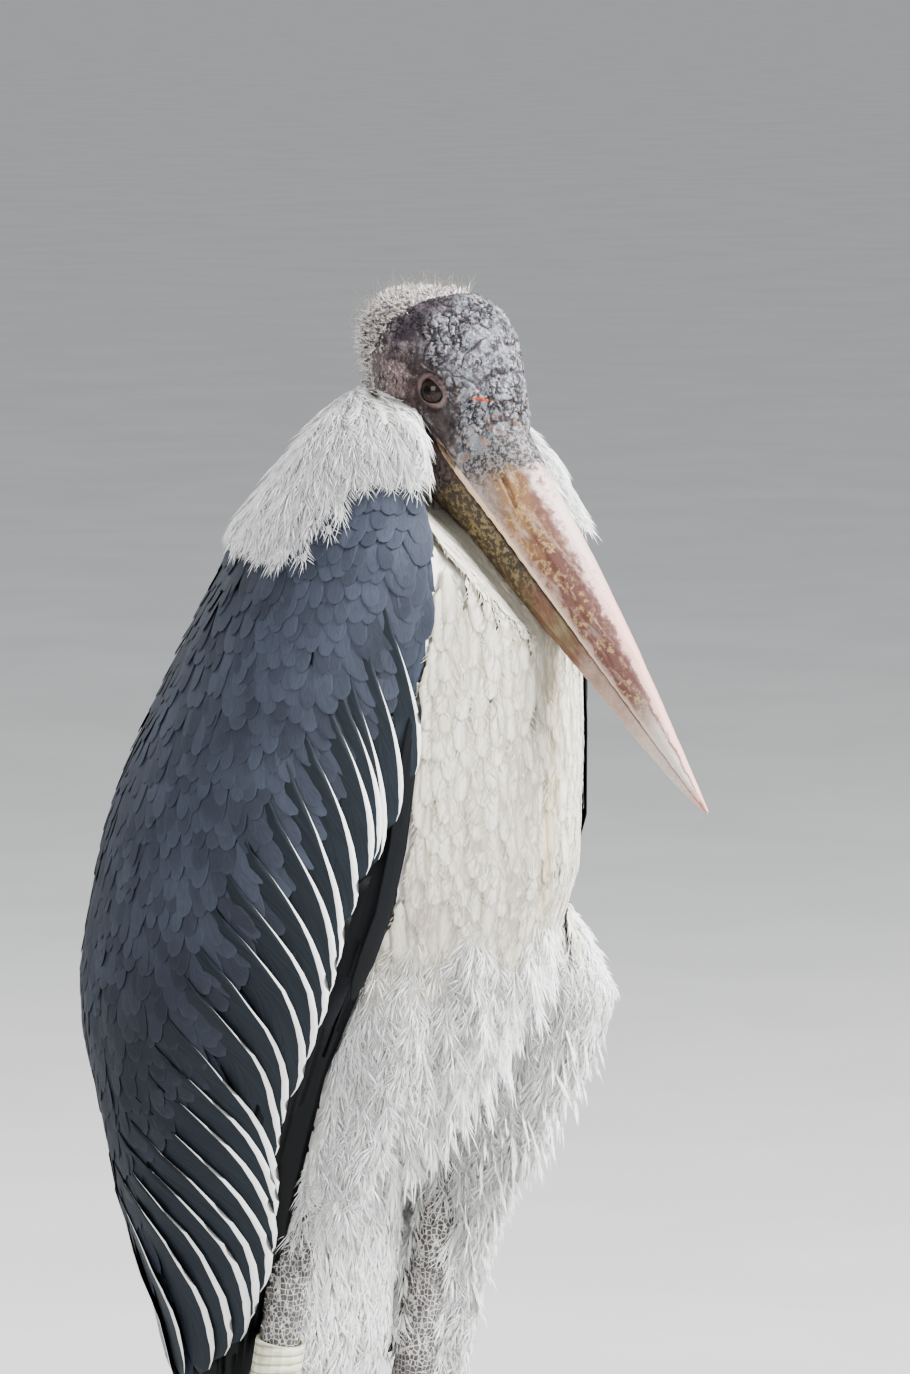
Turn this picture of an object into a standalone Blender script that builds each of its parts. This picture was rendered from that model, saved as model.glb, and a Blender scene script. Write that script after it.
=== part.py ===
"""A marabou stork standing at rest, life size, as a still museum model.

Metres, +Z up. The bird faces -Y and its own right side is at -X. The floor is z = 0, and the
origin lies on the floor under the middle of the bird's box.

Every soft form is a loft of closed loops between named stations. Neighbours are parted by
Boolean cuts with slightly grown copies of each other, which leaves a hairline gap all round.
Stations are given in the bird's own frame, whose Z axis runs up through the trunk.
"""

import math

import bmesh
import bpy
from mathutils import Matrix, Vector

# ---- fits ----
HAIRLINE = 0.0004  # gap between pieces that meet
SOFT_GAP = 0.0008  # between feathered pieces, whose facets don't match
BILL_CLEARANCE = 0.0012  # how far the breast stays off the resting bill
HOLLOW_SPAN = (-0.045, 0.135)  # along the bill: where the breast lies open beside it, on the right
HOLLOW_BELOW = 0.003  # under the bill's keel
HOLLOW_INNER, HOLLOW_OUTER = 0.014, 0.095  # the hollow's floor, from the middle out
HOLLOW_RISE = 0.027  # of the floor, from its inner to its outer edge
HOLLOW_TOP = 0.10
RIGHT, LEFT = -1, 1
SIDES = (("right", RIGHT), ("left", LEFT))

# ---- the whole bird ----
BIRD_PLACE = (-0.0031, 0.0608, 0.0)  # puts the origin under the middle of the bird's box

# ---- head and bill, measured from the middle of the bill's base ----
BILL_BASE = Vector((0.0, -0.1140, 0.9307))
BILL_PITCH = math.radians(48.9)  # below the horizon
BILL_LENGTH = 0.286
EYE_RADIUS = 0.0095
EYE_PLACE = (-0.043, 0.023, 0.0270)  # along the bill, up, and out to the side

# Head: distance along the bill's axis, crown, widest level, jaw, half width.
HEAD_STATIONS = {
    "occiput": (-0.1290, 0.022, 0.010, 0.000, 0.009),
    "nape": (-0.1150, 0.043, 0.014, -0.020, 0.029),
    "crown": (-0.0880, 0.068, 0.020, -0.030, 0.0360),
    "brow": (-0.0570, 0.0795, 0.022, -0.035, 0.0368),
    "lores": (-0.0280, 0.0690, 0.014, -0.0030, 0.0325),
    "bill root": (0.0040, 0.0475, 0.008, -0.0002, 0.0275),
}
# Bill: distance along its axis, culmen above the mouth line, keel below it, half width.
BILL_STATIONS = {
    "gape": (-0.0300, 0.0500, -0.0400, 0.0285),
    "root": (0.0040, 0.0460, -0.0365, 0.0272),
    "nostril": (0.0400, 0.0405, -0.0295, 0.0235),
    "middle": (0.1150, 0.0330, -0.0235, 0.0172),
    "gonys": (0.1850, 0.0215, -0.0150, 0.0110),
    "hook": (0.2450, 0.0095, -0.0095, 0.0062),
    "tip": (0.2860, 0.0012, -0.0012, 0.0012),
}
LOWER_BILL_START = -0.028
UPPER_BILL_START = 0.0044
UPPER_FULLNESS, LOWER_FULLNESS, BILL_ROUNDNESS = 1.1, 0.9, 0.85

# ---- body ----
# Cloak: the outer surface of back and folded wings. Height, middle in Y, half width, half depth.
CLOAK_STATIONS = {
    "neck root": (0.966, -0.068, 0.036, 0.036),
    "collar": (0.940, -0.067, 0.064, 0.064),
    "shoulder": (0.880, -0.060, 0.1125, 0.1125),
    "chest": (0.790, -0.032, 0.135, 0.137),
    "girth": (0.680, -0.002, 0.150, 0.161),
    "hip": (0.590, 0.014, 0.151, 0.166),
    "flank": (0.515, 0.034, 0.138, 0.135),
    "hem": (0.420, 0.035, 0.121, 0.110),
    "low": (0.330, 0.053, 0.086, 0.058),
    "wing tip": (0.270, 0.070, 0.064, 0.040),
    "end": (0.210, 0.085, 0.040, 0.020),
}
# Trunk: height, front and back in Y, half width.
TRUNK_STATIONS = {
    "neck root": (0.950, -0.098, -0.040, 0.029),
    "collar": (0.930, -0.134, -0.014, 0.052),
    "shoulder": (0.880, -0.174, 0.030, 0.088),
    "chest": (0.790, -0.179, 0.082, 0.110),
    "girth": (0.680, -0.177, 0.130, 0.121),
    "hip": (0.590, -0.148, 0.140, 0.114),
    "belly": (0.515, -0.092, 0.112, 0.098),
    "vent": (0.462, -0.034, 0.062, 0.058),
    "vent end": (0.450, -0.008, 0.040, 0.030),
}
NECK_STATIONS = {  # height, front and back in Y, half width
    "root": (0.9504, -0.098, -0.040, 0.029),
    "middle": (0.975, -0.092, -0.042, 0.025),
    "top": (1.005, -0.080, -0.036, 0.022),
}
WING_FRONT = {  # height, angle of the folded wing's leading edge, from the side to the front
    "top": (0.950, 40.0),
    "shoulder": (0.880, 47.0),
    "chest": (0.780, 51.0),
    "girth": (0.686, 53.0),
    "waist": (0.640, 50.0),
    "hip": (0.593, 43.5),
    "thigh": (0.548, 41.5),
    "flank": (0.515, 45.0),
    "hem": (0.443, 38.0),
    "low": (0.388, 33.0),
    "end": (0.210, 30.0),
}
STRIP_WIDTH = {  # height, angle that the bare flight feathers take, from the leading edge back
    "low": (0.330, 6.0),
    "hem": (0.388, 5.5),
    "knee": (0.443, 10.0),
    "flank": (0.515, 11.5),
    "thigh": (0.548, 8.5),
    "hip": (0.600, 9.5),
    "waist": (0.650, 12.0),
    "girth": (0.700, 7.0),
    "top": (0.765, 2.5),
}
SCAPULAR_EDGE = {  # height, angle where the scapulars end on the wing
    "top": (0.950, -2.0),
    "shoulder": (0.850, -5.0),
    "chest": (0.770, -14.0),
    "girth": (0.680, -36.0),
    "hip": (0.590, -66.0),
    "end": (0.540, -84.0),
}
CLOAK_ROW = 0.037  # between the heights at which the cloak's pieces are all shaped
WING_END = 0.21
CLOAK_TOP = 0.95
STRIP_TOP, STRIP_BOTTOM = 0.765, 0.321  # where coverts give way to bare flight feathers
MANTLE_BOTTOM = 0.543
WING_DEPTH = 0.024  # through the upper wing, down to the trunk
HEM_DEPTH = 0.011  # through the coverts below the trunk
HEM_HEIGHT, HEM_RISE = 0.45, 0.09  # where the wing begins to thicken, and over what height
QUILL_INSET = 0.0030  # how far the flight feathers lie under the coverts' surface
QUILL_DEPTH = 0.0080
MIDLINE_ANGLE = -89.0  # the two wings meet just off the midline of the back
PARTING_ANGLE = 0.5  # between the cloak's pieces
ROOM_DEPTH = 0.034  # what thighs leave free for a wing beside the trunk
HEM_ROOM = 0.015  # and below it

RUFF_RADIUS = {  # height, radius of the white collar about the neck
    "fringe": (0.860, 0.1250),
    "low": (0.885, 0.1165),
    "middle": (0.905, 0.1015),
    "swell": (0.937, 0.0810),
    "upper": (0.955, 0.0660),
    "nape": (0.977, 0.0410),
    "top": (0.990, 0.0330),
}
RUFF_LEVELS = {  # share of the way up, height at the back and at the front, fullness
    "fringe": (0.0, 0.866, 0.932, 0.35),
    "low": (0.2, 0.884, 0.936, 0.80),
    "swell": (0.5, 0.925, 0.943, 1.00),
    "upper": (0.8, 0.962, 0.951, 1.00),
    "nape": (1.0, 0.984, 0.958, 0.80),
}
RUFF_OPENING = {"right": 46.0, "left": 30.0}  # degrees from straight ahead to each front edge
THROAT_BACK = -0.062  # Y where the two front edges would meet
LEFT_LAPPET_DROP = 0.045  # how much lower the left front of the fringe hangs

# Thighs: height, out and Y of the middle, half width, half depth. The left one bulges forward
# over its wing and trails lower.
THIGH_STATIONS = {
    "right": {
        "root": (0.620, 0.058, -0.088, 0.026, 0.032),
        "bulge": (0.580, 0.062, -0.090, 0.030, 0.034),
        "knee": (0.515, 0.066, -0.066, 0.028, 0.030),
        "cuff": (0.470, 0.0700, -0.052, 0.0240, 0.028),
        "end": (0.446, 0.0700, -0.045, 0.0200, 0.024),
    },
    "left": {
        "root": (0.632, 0.080, -0.080, 0.034, 0.044),
        "bulge": (0.570, 0.107, -0.083, 0.050, 0.054),
        "waist": (0.536, 0.088, -0.058, 0.040, 0.046),
        "knee": (0.500, 0.101, -0.060, 0.047, 0.048),
        "cuff": (0.455, 0.097, -0.038, 0.038, 0.040),
        "trail": (0.400, 0.102, -0.012, 0.025, 0.026),
        "low": (0.345, 0.104, -0.008, 0.021, 0.022),
        "end": (0.296, 0.104, -0.006, 0.010, 0.011),
    },
}
# Down under the tail: height, middle in X and in Y, half width, half depth.
DOWN_STATIONS = {
    "root": (0.500, 0.000, 0.030, 0.070, 0.050),
    "swell": (0.445, 0.004, 0.032, 0.078, 0.046),
    "skirt": (0.385, 0.006, 0.034, 0.078, 0.042),
    "low": (0.335, 0.006, 0.034, 0.066, 0.036),
    "end": (0.272, 0.004, 0.038, 0.044, 0.018),
}
DOWN_SQUARENESS = 0.72
TAIL_STATIONS = {  # height, middle in Y, half width, half depth
    "root": (0.495, 0.092, 0.036, 0.012),
    "middle": (0.420, 0.100, 0.044, 0.008),
    "spread": (0.340, 0.089, 0.040, 0.005),
    "end": (0.262, 0.083, 0.028, 0.0025),
}
TAIL_SQUARENESS = 0.8

# ---- legs ----
LEG_OUT = 0.0755  # the legs stand this far to each side
SHANK_TOP = (0.500, -0.040)  # height and Y of the shank's middle
HEEL = (0.296, -0.001)
ANKLE = (0.0224, -0.010)
SHANK_RADIUS, TARSUS_RADIUS, HEEL_RADIUS = 0.0128, 0.0078, 0.0150
HEEL_ABOVE, HEEL_BELOW = 0.15, 0.14  # shares of the shank and the tarsus that swell to the heel
ANKLE_SWELLING, ANKLE_SHARE = 0.0012, 0.10
RING_BOTTOM, RING_HEIGHT, RING_WALL = 0.325, 0.028, 0.0026
RING_PLAY, RING_EDGE = 0.0012, 0.0007
PAD_RADIUS, PAD_HEIGHT = 0.0195, 0.022
PAD_PROFILE = ((0.0, 1.0), (0.35, 0.96), (0.62, 0.76), (0.84, 0.55), (1.0, 0.48))  # up, wide
TOES = {  # turn from straight ahead to the outside, length, width, height
    "inner": (-36.0, 0.082, 0.0110, 0.0105),
    "middle": (0.0, 0.102, 0.0120, 0.0115),
    "outer": (36.0, 0.086, 0.0110, 0.0105),
    "back": (172.0, 0.042, 0.0100, 0.0100),
}
TOE_START = 0.0205  # from the pad's middle
TOE_TAPER, KNUCKLE_SWELLING, KNUCKLES = 0.38, 0.10, 3
CLAW_LENGTH, CLAW_WIDTH, CLAW_TAPER = 0.013, 0.0062, 0.96

# ---- materials: colour, roughness, metallic ----
FINISHES = {
    "slate_feather": ((0.085, 0.105, 0.135), 0.65, 0.0),
    "black_feather": ((0.018, 0.020, 0.026), 0.55, 0.0),
    "white_feather": ((0.78, 0.75, 0.68), 0.80, 0.0),
    "bare_skin": ((0.28, 0.26, 0.27), 0.60, 0.0),
    "bill_horn": ((0.50, 0.38, 0.30), 0.45, 0.0),
    "eye_brown": ((0.035, 0.020, 0.012), 0.08, 0.0),
    "leg_scale": ((0.55, 0.54, 0.55), 0.75, 0.0),
    "claw_horn": ((0.06, 0.05, 0.05), 0.40, 0.0),
    "ring_plastic": ((0.62, 0.64, 0.52), 0.45, 0.0),
}


def material(name):
    made = bpy.data.materials.get(name)
    if made is None:
        colour, roughness, metallic = FINISHES[name]
        made = bpy.data.materials.new(name)
        made.use_nodes = True
        shader = made.node_tree.nodes["Principled BSDF"]
        shader.inputs["Base Color"].default_value = (*colour, 1.0)
        shader.inputs["Roughness"].default_value = roughness
        shader.inputs["Metallic"].default_value = metallic
    return made


# ---- shape helpers ----
def along(stations, at):
    """The stations' values at a place between them, on a smooth curve through them all."""
    rows = sorted(stations.values())
    at = min(max(at, rows[0][0]), rows[-1][0])
    k = next(i for i in range(len(rows) - 1) if at <= rows[i + 1][0])
    span = rows[k + 1][0] - rows[k][0]
    t = (at - rows[k][0]) / span

    def rise(i, column):
        return (rows[i + 1][column] - rows[i][column]) / (rows[i + 1][0] - rows[i][0])

    def slope(i, column):
        if i == 0 or i == len(rows) - 1:
            return rise(min(i, len(rows) - 2), column)
        before, after = rise(i - 1, column), rise(i, column)
        return 2 * before * after / (before + after) if before * after > 0 else 0.0

    values = [
        rows[k][column] * (2 * t**3 - 3 * t**2 + 1)
        + slope(k, column) * span * (t**3 - 2 * t**2 + t)
        + rows[k + 1][column] * (3 * t**2 - 2 * t**3)
        + slope(k + 1, column) * span * (t**3 - t**2)
        for column in range(1, len(rows[0]))
    ]
    return values if len(values) > 1 else values[0]


def span_of(stations):
    places = sorted(row[0] for row in stations.values())
    return places[0], places[-1]


def steps(first, last, count):
    return [first + (last - first) * i / count for i in range(count + 1)]


def eased(first, last, count):
    """Steps that crowd together at both ends, for rounded ends."""
    return [(first + last - (last - first) * math.cos(math.pi * i / count)) / 2 for i in range(count + 1)]


def turns(count):
    return [2 * math.pi * i / count for i in range(count)]


def oval(middle, half_width, half_depth, height, segments, squareness=1.0):
    """A level closed loop: an ellipse, or squarer where squareness is below 1."""
    return [
        Vector(
            (
                middle[0] + half_width * math.copysign(abs(math.cos(t)) ** squareness, math.cos(t)),
                middle[1] + half_depth * math.copysign(abs(math.sin(t)) ** squareness, math.sin(t)),
                height,
            )
        )
        for t in turns(segments)
    ]


def finished(name, bm, finish):
    """A mesh object from a bmesh, shaded smooth, in its own material."""
    mesh = bpy.data.meshes.new(name)
    bm.to_mesh(mesh)
    bm.free()
    mesh.materials.append(material(finish))
    mesh.shade_smooth()
    mesh.set_sharp_from_angle(angle=math.radians(50))
    made = bpy.data.objects.new(name, mesh)
    bpy.context.scene.collection.objects.link(made)
    return made


def loft(name, loops, finish):
    """One closed body: a grid wrapped round through loops with the same number of points."""
    around = len(loops[0])
    bm = bmesh.new()
    grid = bmesh.ops.create_grid(bm, x_segments=around, y_segments=len(loops) - 1)["verts"]
    for i, vertex in enumerate(grid):
        row, column = divmod(i, around + 1)
        vertex.co = loops[row][column % around]
    bmesh.ops.remove_doubles(bm, verts=bm.verts[:], dist=1e-7)
    bmesh.ops.holes_fill(bm, edges=[edge for edge in bm.edges if edge.is_boundary])
    bmesh.ops.recalc_face_normals(bm, faces=bm.faces[:])
    bmesh.ops.triangulate(bm, faces=bm.faces[:])
    return finished(name, bm, finish)


def helper(made):
    made.hide_render = True
    made.display_type = "WIRE"
    return made


def grown(form, by):
    """A cutter in the shape of a form, larger by the same distance all over."""
    bm = bmesh.new()
    bm.from_mesh(form.data)
    bm.normal_update()
    moves = [v.normal * min(v.calc_shell_factor(), 1.6) * by for v in bm.verts]
    for vertex, move in zip(bm.verts, moves):
        vertex.co += move
    return helper(finished(form.name + "_cutter", bm, "bare_skin"))


def cut(piece, forms, by=HAIRLINE):
    for form in forms:
        modifier = piece.modifiers.new("clear_of_" + form.name, "BOOLEAN")
        modifier.operation = "DIFFERENCE"
        modifier.solver = "EXACT"
        modifier.object = grown(form, by)


# ---- head ----
def on_head(along_bill, up, out):
    """A point from the head's own directions: along the bill, up from it, out to the left."""
    forward = Vector((0, -math.cos(BILL_PITCH), -math.sin(BILL_PITCH)))
    upward = Vector((0, -math.sin(BILL_PITCH), math.cos(BILL_PITCH)))
    return BILL_BASE + forward * along_bill + upward * up + Vector((out, 0, 0))


def head_loop(distance, segments=20):
    crown, widest, jaw, half_width = along(HEAD_STATIONS, distance)
    loop = []
    for t in turns(segments):
        reach = crown - widest if math.sin(t) > 0 else widest - jaw
        loop.append(on_head(distance, widest + reach * math.sin(t), half_width * math.cos(t)))
    return loop


def make_head():
    return loft("head", [head_loop(place) for place in eased(*span_of(HEAD_STATIONS), 12)], "bare_skin")


def bill_half(name, start, side_of_mouth, fullness, segments=12):
    """A mandible: flat along the mouth line, with a ridge or keel that is fuller or narrower."""
    loops = []
    for distance in eased(start, BILL_LENGTH, 10):
        culmen, keel, half_width = along(BILL_STATIONS, distance)
        reach = culmen if side_of_mouth > 0 else keel
        loop = []
        for i in range(segments + 1):
            t = math.pi * i / segments
            out = half_width * math.copysign(abs(math.cos(t)) ** fullness, math.cos(t))
            up = side_of_mouth * HAIRLINE / 2 + reach * math.sin(t) ** BILL_ROUNDNESS
            loop.append(on_head(distance, up, out))
        loops.append(loop)
    return loft(name, loops, "bill_horn")


def make_eye(name, side):
    distance, up, out = EYE_PLACE
    place = Matrix.Translation(on_head(distance, up, side * out))
    bm = bmesh.new()
    bmesh.ops.create_uvsphere(bm, u_segments=11, v_segments=6, radius=EYE_RADIUS, matrix=place)
    return finished(name, bm, "eye_brown")


# ---- neck and trunk ----
def body_loop(stations, height, segments):
    front, back, half_width = along(stations, height)
    return oval((0, (front + back) / 2), half_width, (back - front) / 2, height, segments)


def make_neck():
    heights = steps(*span_of(NECK_STATIONS), 3)
    return loft("neck", [body_loop(NECK_STATIONS, height, 16) for height in heights], "bare_skin")


def make_trunk():
    heights = eased(*span_of(TRUNK_STATIONS), 11)
    loops = [body_loop(TRUNK_STATIONS, height, 22) for height in heights]
    return loft("trunk", loops, "white_feather")


def make_hollow():
    """What lies open on the right of the bill, so that the lower mandible stands clear of the breast."""
    loops = []
    for distance in steps(*HOLLOW_SPAN, 7):
        floor = along(BILL_STATIONS, distance)[1] - HOLLOW_BELOW
        loops.append(
            [
                on_head(distance, floor, 0),
                on_head(distance, floor, RIGHT * HOLLOW_INNER),
                on_head(distance, floor + HOLLOW_RISE, RIGHT * HOLLOW_OUTER),
                on_head(distance, HOLLOW_TOP, RIGHT * HOLLOW_OUTER),
                on_head(distance, HOLLOW_TOP, 0),
            ]
        )
    return helper(loft("hollow", loops, "bare_skin"))


# ---- cloak: mantle and folded wings ----
def on_cloak(side, height, degrees, inset):
    """A point on the cloak, at an angle from the side (0) to the front (90) or back (-90)."""
    middle, half_width, half_depth = along(CLOAK_STATIONS, height)
    turn = math.radians(degrees)
    across = side * (half_width - inset) * math.cos(turn)
    return Vector((across, middle - (half_depth - inset) * math.sin(turn), height))


def cloak_rows(lowest, highest):
    count = round((CLOAK_TOP - WING_END) / CLOAK_ROW)
    rows = [WING_END + CLOAK_ROW * i for i in range(count)] + [CLOAK_TOP]
    return [row for row in rows if lowest - 0.001 < row < highest + 0.001]


def wing_depth(height):
    """How deep the wing's solid goes: least at the hem, most over the trunk."""
    share = min(max((height - HEM_HEIGHT) / HEM_RISE, 0.0), 1.0)
    return HEM_DEPTH + (WING_DEPTH - HEM_DEPTH) * share


def shell_loop(places, height, top_inset, bottom_inset):
    outer = [on_cloak(side, height, degrees, top_inset) for side, degrees in places]
    inner = [on_cloak(side, height, degrees, bottom_inset) for side, degrees in reversed(places)]
    return outer + inner


def make_coverts(name, side):
    """The wing from shoulder to fringe: all its coverts, as one thick shell."""
    loops = []
    for height in cloak_rows(STRIP_BOTTOM, CLOAK_TOP):
        back, front = MIDLINE_ANGLE, along(WING_FRONT, height)
        if height > MANTLE_BOTTOM - CLOAK_ROW / 2:
            back = along(SCAPULAR_EDGE, height) + PARTING_ANGLE
        if height < STRIP_TOP + CLOAK_ROW / 2:
            front -= along(STRIP_WIDTH, height) + PARTING_ANGLE
        places = [(side, degrees) for degrees in steps(back, front, 7)]
        loops.append(shell_loop(places, height, 0.0, wing_depth(height)))
    return loft(name, loops, "slate_feather")


def make_flight_feathers(name, side):
    """The band of bare flight feathers along the leading edge."""
    loops = []
    for height in cloak_rows(STRIP_BOTTOM, STRIP_TOP):
        front = along(WING_FRONT, height)
        places = [(side, degrees) for degrees in steps(front - along(STRIP_WIDTH, height), front, 2)]
        loops.append(shell_loop(places, height, QUILL_INSET, QUILL_INSET + QUILL_DEPTH))
    return loft(name, loops, "black_feather")


def make_wing_tip(name, side):
    """The ends of the flight feathers, below the coverts."""
    loops = []
    for height in steps(WING_END, STRIP_BOTTOM - 2 * HAIRLINE, 3):
        places = [(side, degrees) for degrees in steps(MIDLINE_ANGLE, along(WING_FRONT, height), 7)]
        loops.append(shell_loop(places, height, QUILL_INSET, QUILL_INSET + QUILL_DEPTH))
    return loft(name, loops, "black_feather")


def make_wing_room(side):
    """Coverts and flight feathers as one cutter, with no parting between them."""
    loops = []
    for height in cloak_rows(WING_END, CLOAK_TOP):
        angles = steps(MIDLINE_ANGLE, along(WING_FRONT, height), 12)
        places = [(side, degrees) for degrees in angles]
        loops.append(shell_loop(places, height, 0.0, ROOM_DEPTH if height > HEM_HEIGHT else HEM_ROOM))
    return helper(loft("wing_room", loops, "slate_feather"))


def make_mantle():
    """Back and scapulars, from one wing's edge round the back to the other's."""
    loops = []
    for height in cloak_rows(MANTLE_BOTTOM, CLOAK_TOP):
        half = steps(along(SCAPULAR_EDGE, height), -90.0, 4)
        places = [(RIGHT, degrees) for degrees in half] + [(LEFT, degrees) for degrees in half[-2::-1]]
        loops.append(shell_loop(places, height, 0.0, wing_depth(height)))
    return loft("mantle", loops, "slate_feather")


# ---- ruff ----
def make_ruff():
    """The white collar: low on the back, higher in front, and open at the throat."""
    loops = []
    for share in steps(0.0, 1.0, 5):
        at_back, at_front, fullness = along(RUFF_LEVELS, share)
        loop = []
        for t in turns(24):
            ahead = (1 - math.sin(t)) / 2
            to_front = ahead**2 * (3 - 2 * ahead)
            drop = LEFT_LAPPET_DROP * max(0.0, math.cos(t)) * (1 - share)
            height = at_back + (at_front - drop - at_back) * to_front
            middle, _, cloak_radius = along(CLOAK_STATIONS, height)
            radius = cloak_radius + (along(RUFF_RADIUS, height) - cloak_radius) * fullness
            loop.append(Vector((radius * math.cos(t), middle + radius * math.sin(t), height)))
        loops.append(loop)
    return loft("ruff", loops, "white_feather")


def make_cloak_core():
    """The upper cloak, all round, as one cutter."""
    loops = []
    for height in cloak_rows(STRIP_TOP, CLOAK_TOP):
        middle, half_width, half_depth = along(CLOAK_STATIONS, height)
        loops.append(oval((0, middle), half_width, half_depth, height, 24))
    return helper(loft("cloak_core", loops, "slate_feather"))


def make_throat_gap():
    """The wedge that opens the ruff in front."""
    apex, reach = Vector((0, THROAT_BACK, 0)), 0.3
    corners = [apex]
    for word, side in SIDES:
        across = side * reach * math.tan(math.radians(RUFF_OPENING[word]))
        corners.append(apex + Vector((across, -reach, 0)))
    lifts = [Vector((0, 0, height)) for height in (0.80, 1.10)]
    return helper(loft("throat_gap", [[c + lift for c in corners] for lift in lifts], "bare_skin"))


# ---- thighs, down, tail ----
def make_thigh(name, side, stations):
    loops = []
    for height in eased(*span_of(stations), 7):
        out, middle, half_width, half_depth = along(stations, height)
        loops.append(oval((side * out, middle), half_width, half_depth, height, 12))
    return loft(name, loops, "white_feather")


def make_down():
    loops = []
    for height in eased(*span_of(DOWN_STATIONS), 6):
        across, middle, half_width, half_depth = along(DOWN_STATIONS, height)
        loops.append(oval((across, middle), half_width, half_depth, height, 16, DOWN_SQUARENESS))
    return loft("vent_down", loops, "white_feather")


def make_tail():
    loops = []
    for height in steps(*span_of(TAIL_STATIONS), 4):
        middle, half_width, half_depth = along(TAIL_STATIONS, height)
        loops.append(oval((0, middle), half_width, half_depth, height, 12, TAIL_SQUARENESS))
    return loft("tail", loops, "slate_feather")


# ---- legs and feet ----
def tube(name, places, finish, segments=11):
    """A leg bone's length: rings of a given middle and radius."""
    loops = [oval((x, y), radius, radius, height, segments) for x, y, height, radius in places]
    return loft(name, loops, finish)


def make_shank(name, side):
    """The bare lower thigh, down to the heel."""
    places = []
    for share in steps(0.0, 1.0, 5):
        height = HEEL[0] + HAIRLINE + (SHANK_TOP[0] - HEEL[0] - HAIRLINE) * share
        swelling = (HEEL_RADIUS - SHANK_RADIUS) * max(0.0, 1 - share / HEEL_ABOVE)
        y = HEEL[1] + (SHANK_TOP[1] - HEEL[1]) * share
        places.append((side * LEG_OUT, y, height, SHANK_RADIUS + swelling))
    return tube(name, places, "leg_scale")


def make_tarsus(name, side):
    """The long foot bone, from the heel down to the pad."""
    places = []
    for share in (0.0, ANKLE_SHARE, 0.50, 1 - HEEL_BELOW, 0.95, 1.0):
        height = ANKLE[0] + (HEEL[0] - ANKLE[0]) * share
        to_ankle = max(0.0, 1 - share / ANKLE_SHARE)
        to_heel = max(0.0, 1 - (1 - share) / HEEL_BELOW)
        radius = TARSUS_RADIUS + ANKLE_SWELLING * to_ankle + (HEEL_RADIUS - TARSUS_RADIUS) * to_heel
        y = ANKLE[1] + (HEEL[1] - ANKLE[1]) * share
        places.append((side * LEG_OUT, y, height, radius))
    return tube(name, places, "leg_scale")


def make_pad(name, side):
    """The foot's pad, a low dome that stands flat on the floor."""
    places = [(side * LEG_OUT, ANKLE[1], PAD_HEIGHT * up, PAD_RADIUS * wide) for up, wide in PAD_PROFILE]
    return tube(name, places, "leg_scale", 12)


def toe_loop(side, turn, distance, half_width, height, segments=5):
    """A loop across a toe: flat on the floor, round on top."""
    ahead = Vector((side * math.sin(turn), -math.cos(turn), 0))
    across = Vector((-ahead.y, ahead.x, 0))
    root = Vector((side * LEG_OUT, ANKLE[1], 0)) + ahead * distance
    loop = []
    for i in range(segments + 1):
        t = math.pi * i / segments
        width = half_width * math.copysign(abs(math.cos(t)) ** 0.7, math.cos(t))
        loop.append(root + across * width + Vector((0, 0, height * math.sin(t) ** 0.8)))
    return loop


def make_toe(name, side, degrees, length, width, height):
    """A toe with three joints, tapering, its underside on the floor."""
    loops = []
    for share in steps(0.0, 1.0, 5):
        knuckle = 1 + KNUCKLE_SWELLING * math.cos(2 * math.pi * KNUCKLES * share)
        taper = (1 - TOE_TAPER * share) * knuckle
        distance = TOE_START + (length - TOE_START) * share
        loops.append(toe_loop(side, math.radians(degrees), distance, width / 2 * taper, height * taper))
    return loft(name, loops, "leg_scale")


def make_claw(name, side, degrees, toe_length):
    """A blunt claw that carries the toe on, its tip resting on the floor."""
    loops = []
    for share in steps(0.0, 1.0, 3):
        distance = toe_length + HAIRLINE + CLAW_LENGTH * share
        thick = math.sqrt(1 - CLAW_TAPER * share**2)
        half_width, height = CLAW_WIDTH / 2 * thick, CLAW_WIDTH * thick
        loops.append(toe_loop(side, math.radians(degrees), distance, half_width, height, 5))
    return loft(name, loops, "claw_horn")


def make_ring():
    """The band on the right shank, square to it and just above the heel."""
    slope = (SHANK_TOP[1] - HEEL[1]) / (SHANK_TOP[0] - HEEL[0])
    height = RING_BOTTOM + RING_HEIGHT / 2
    place = Matrix.Translation((RIGHT * LEG_OUT, HEEL[1] + slope * (height - HEEL[0]), height))
    inner = SHANK_RADIUS + RING_PLAY
    outer = inner + RING_WALL
    up = RING_HEIGHT / 2
    bm = bmesh.new()
    corners = [(inner, -up), (outer, -up), (outer, up), (inner, up)]
    points = [bm.verts.new((radius, 0, z)) for radius, z in corners]
    rim = [bm.edges.new((points[i - 1], points[i])) for i in range(4)]
    bmesh.ops.spin(
        bm, geom=points + rim, cent=(0, 0, 0), axis=(0, 0, 1), angle=2 * math.pi, steps=16, use_merge=True
    )
    bmesh.ops.recalc_face_normals(bm, faces=bm.faces[:])
    edges = [edge for edge in bm.edges if edge.calc_face_angle(0) > math.radians(60)]
    bmesh.ops.bevel(
        bm, geom=edges, offset=RING_EDGE, segments=1, profile=0.5, affect="EDGES", material=-1
    )
    bmesh.ops.transform(bm, matrix=place @ Matrix.Rotation(-math.atan(slope), 4, "X"), verts=bm.verts[:])
    return finished("leg_ring", bm, "ring_plastic")


# ---- the bird ----
def make_head_group():
    upper = bill_half("bill_upper", UPPER_BILL_START, 1, UPPER_FULLNESS)
    lower = bill_half("bill_lower", LOWER_BILL_START, -1, LOWER_FULLNESS)
    head = make_head()
    eyes = [make_eye("eye_" + word, side) for word, side in SIDES]
    cut(head, eyes + [lower])
    return head, upper, lower


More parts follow.
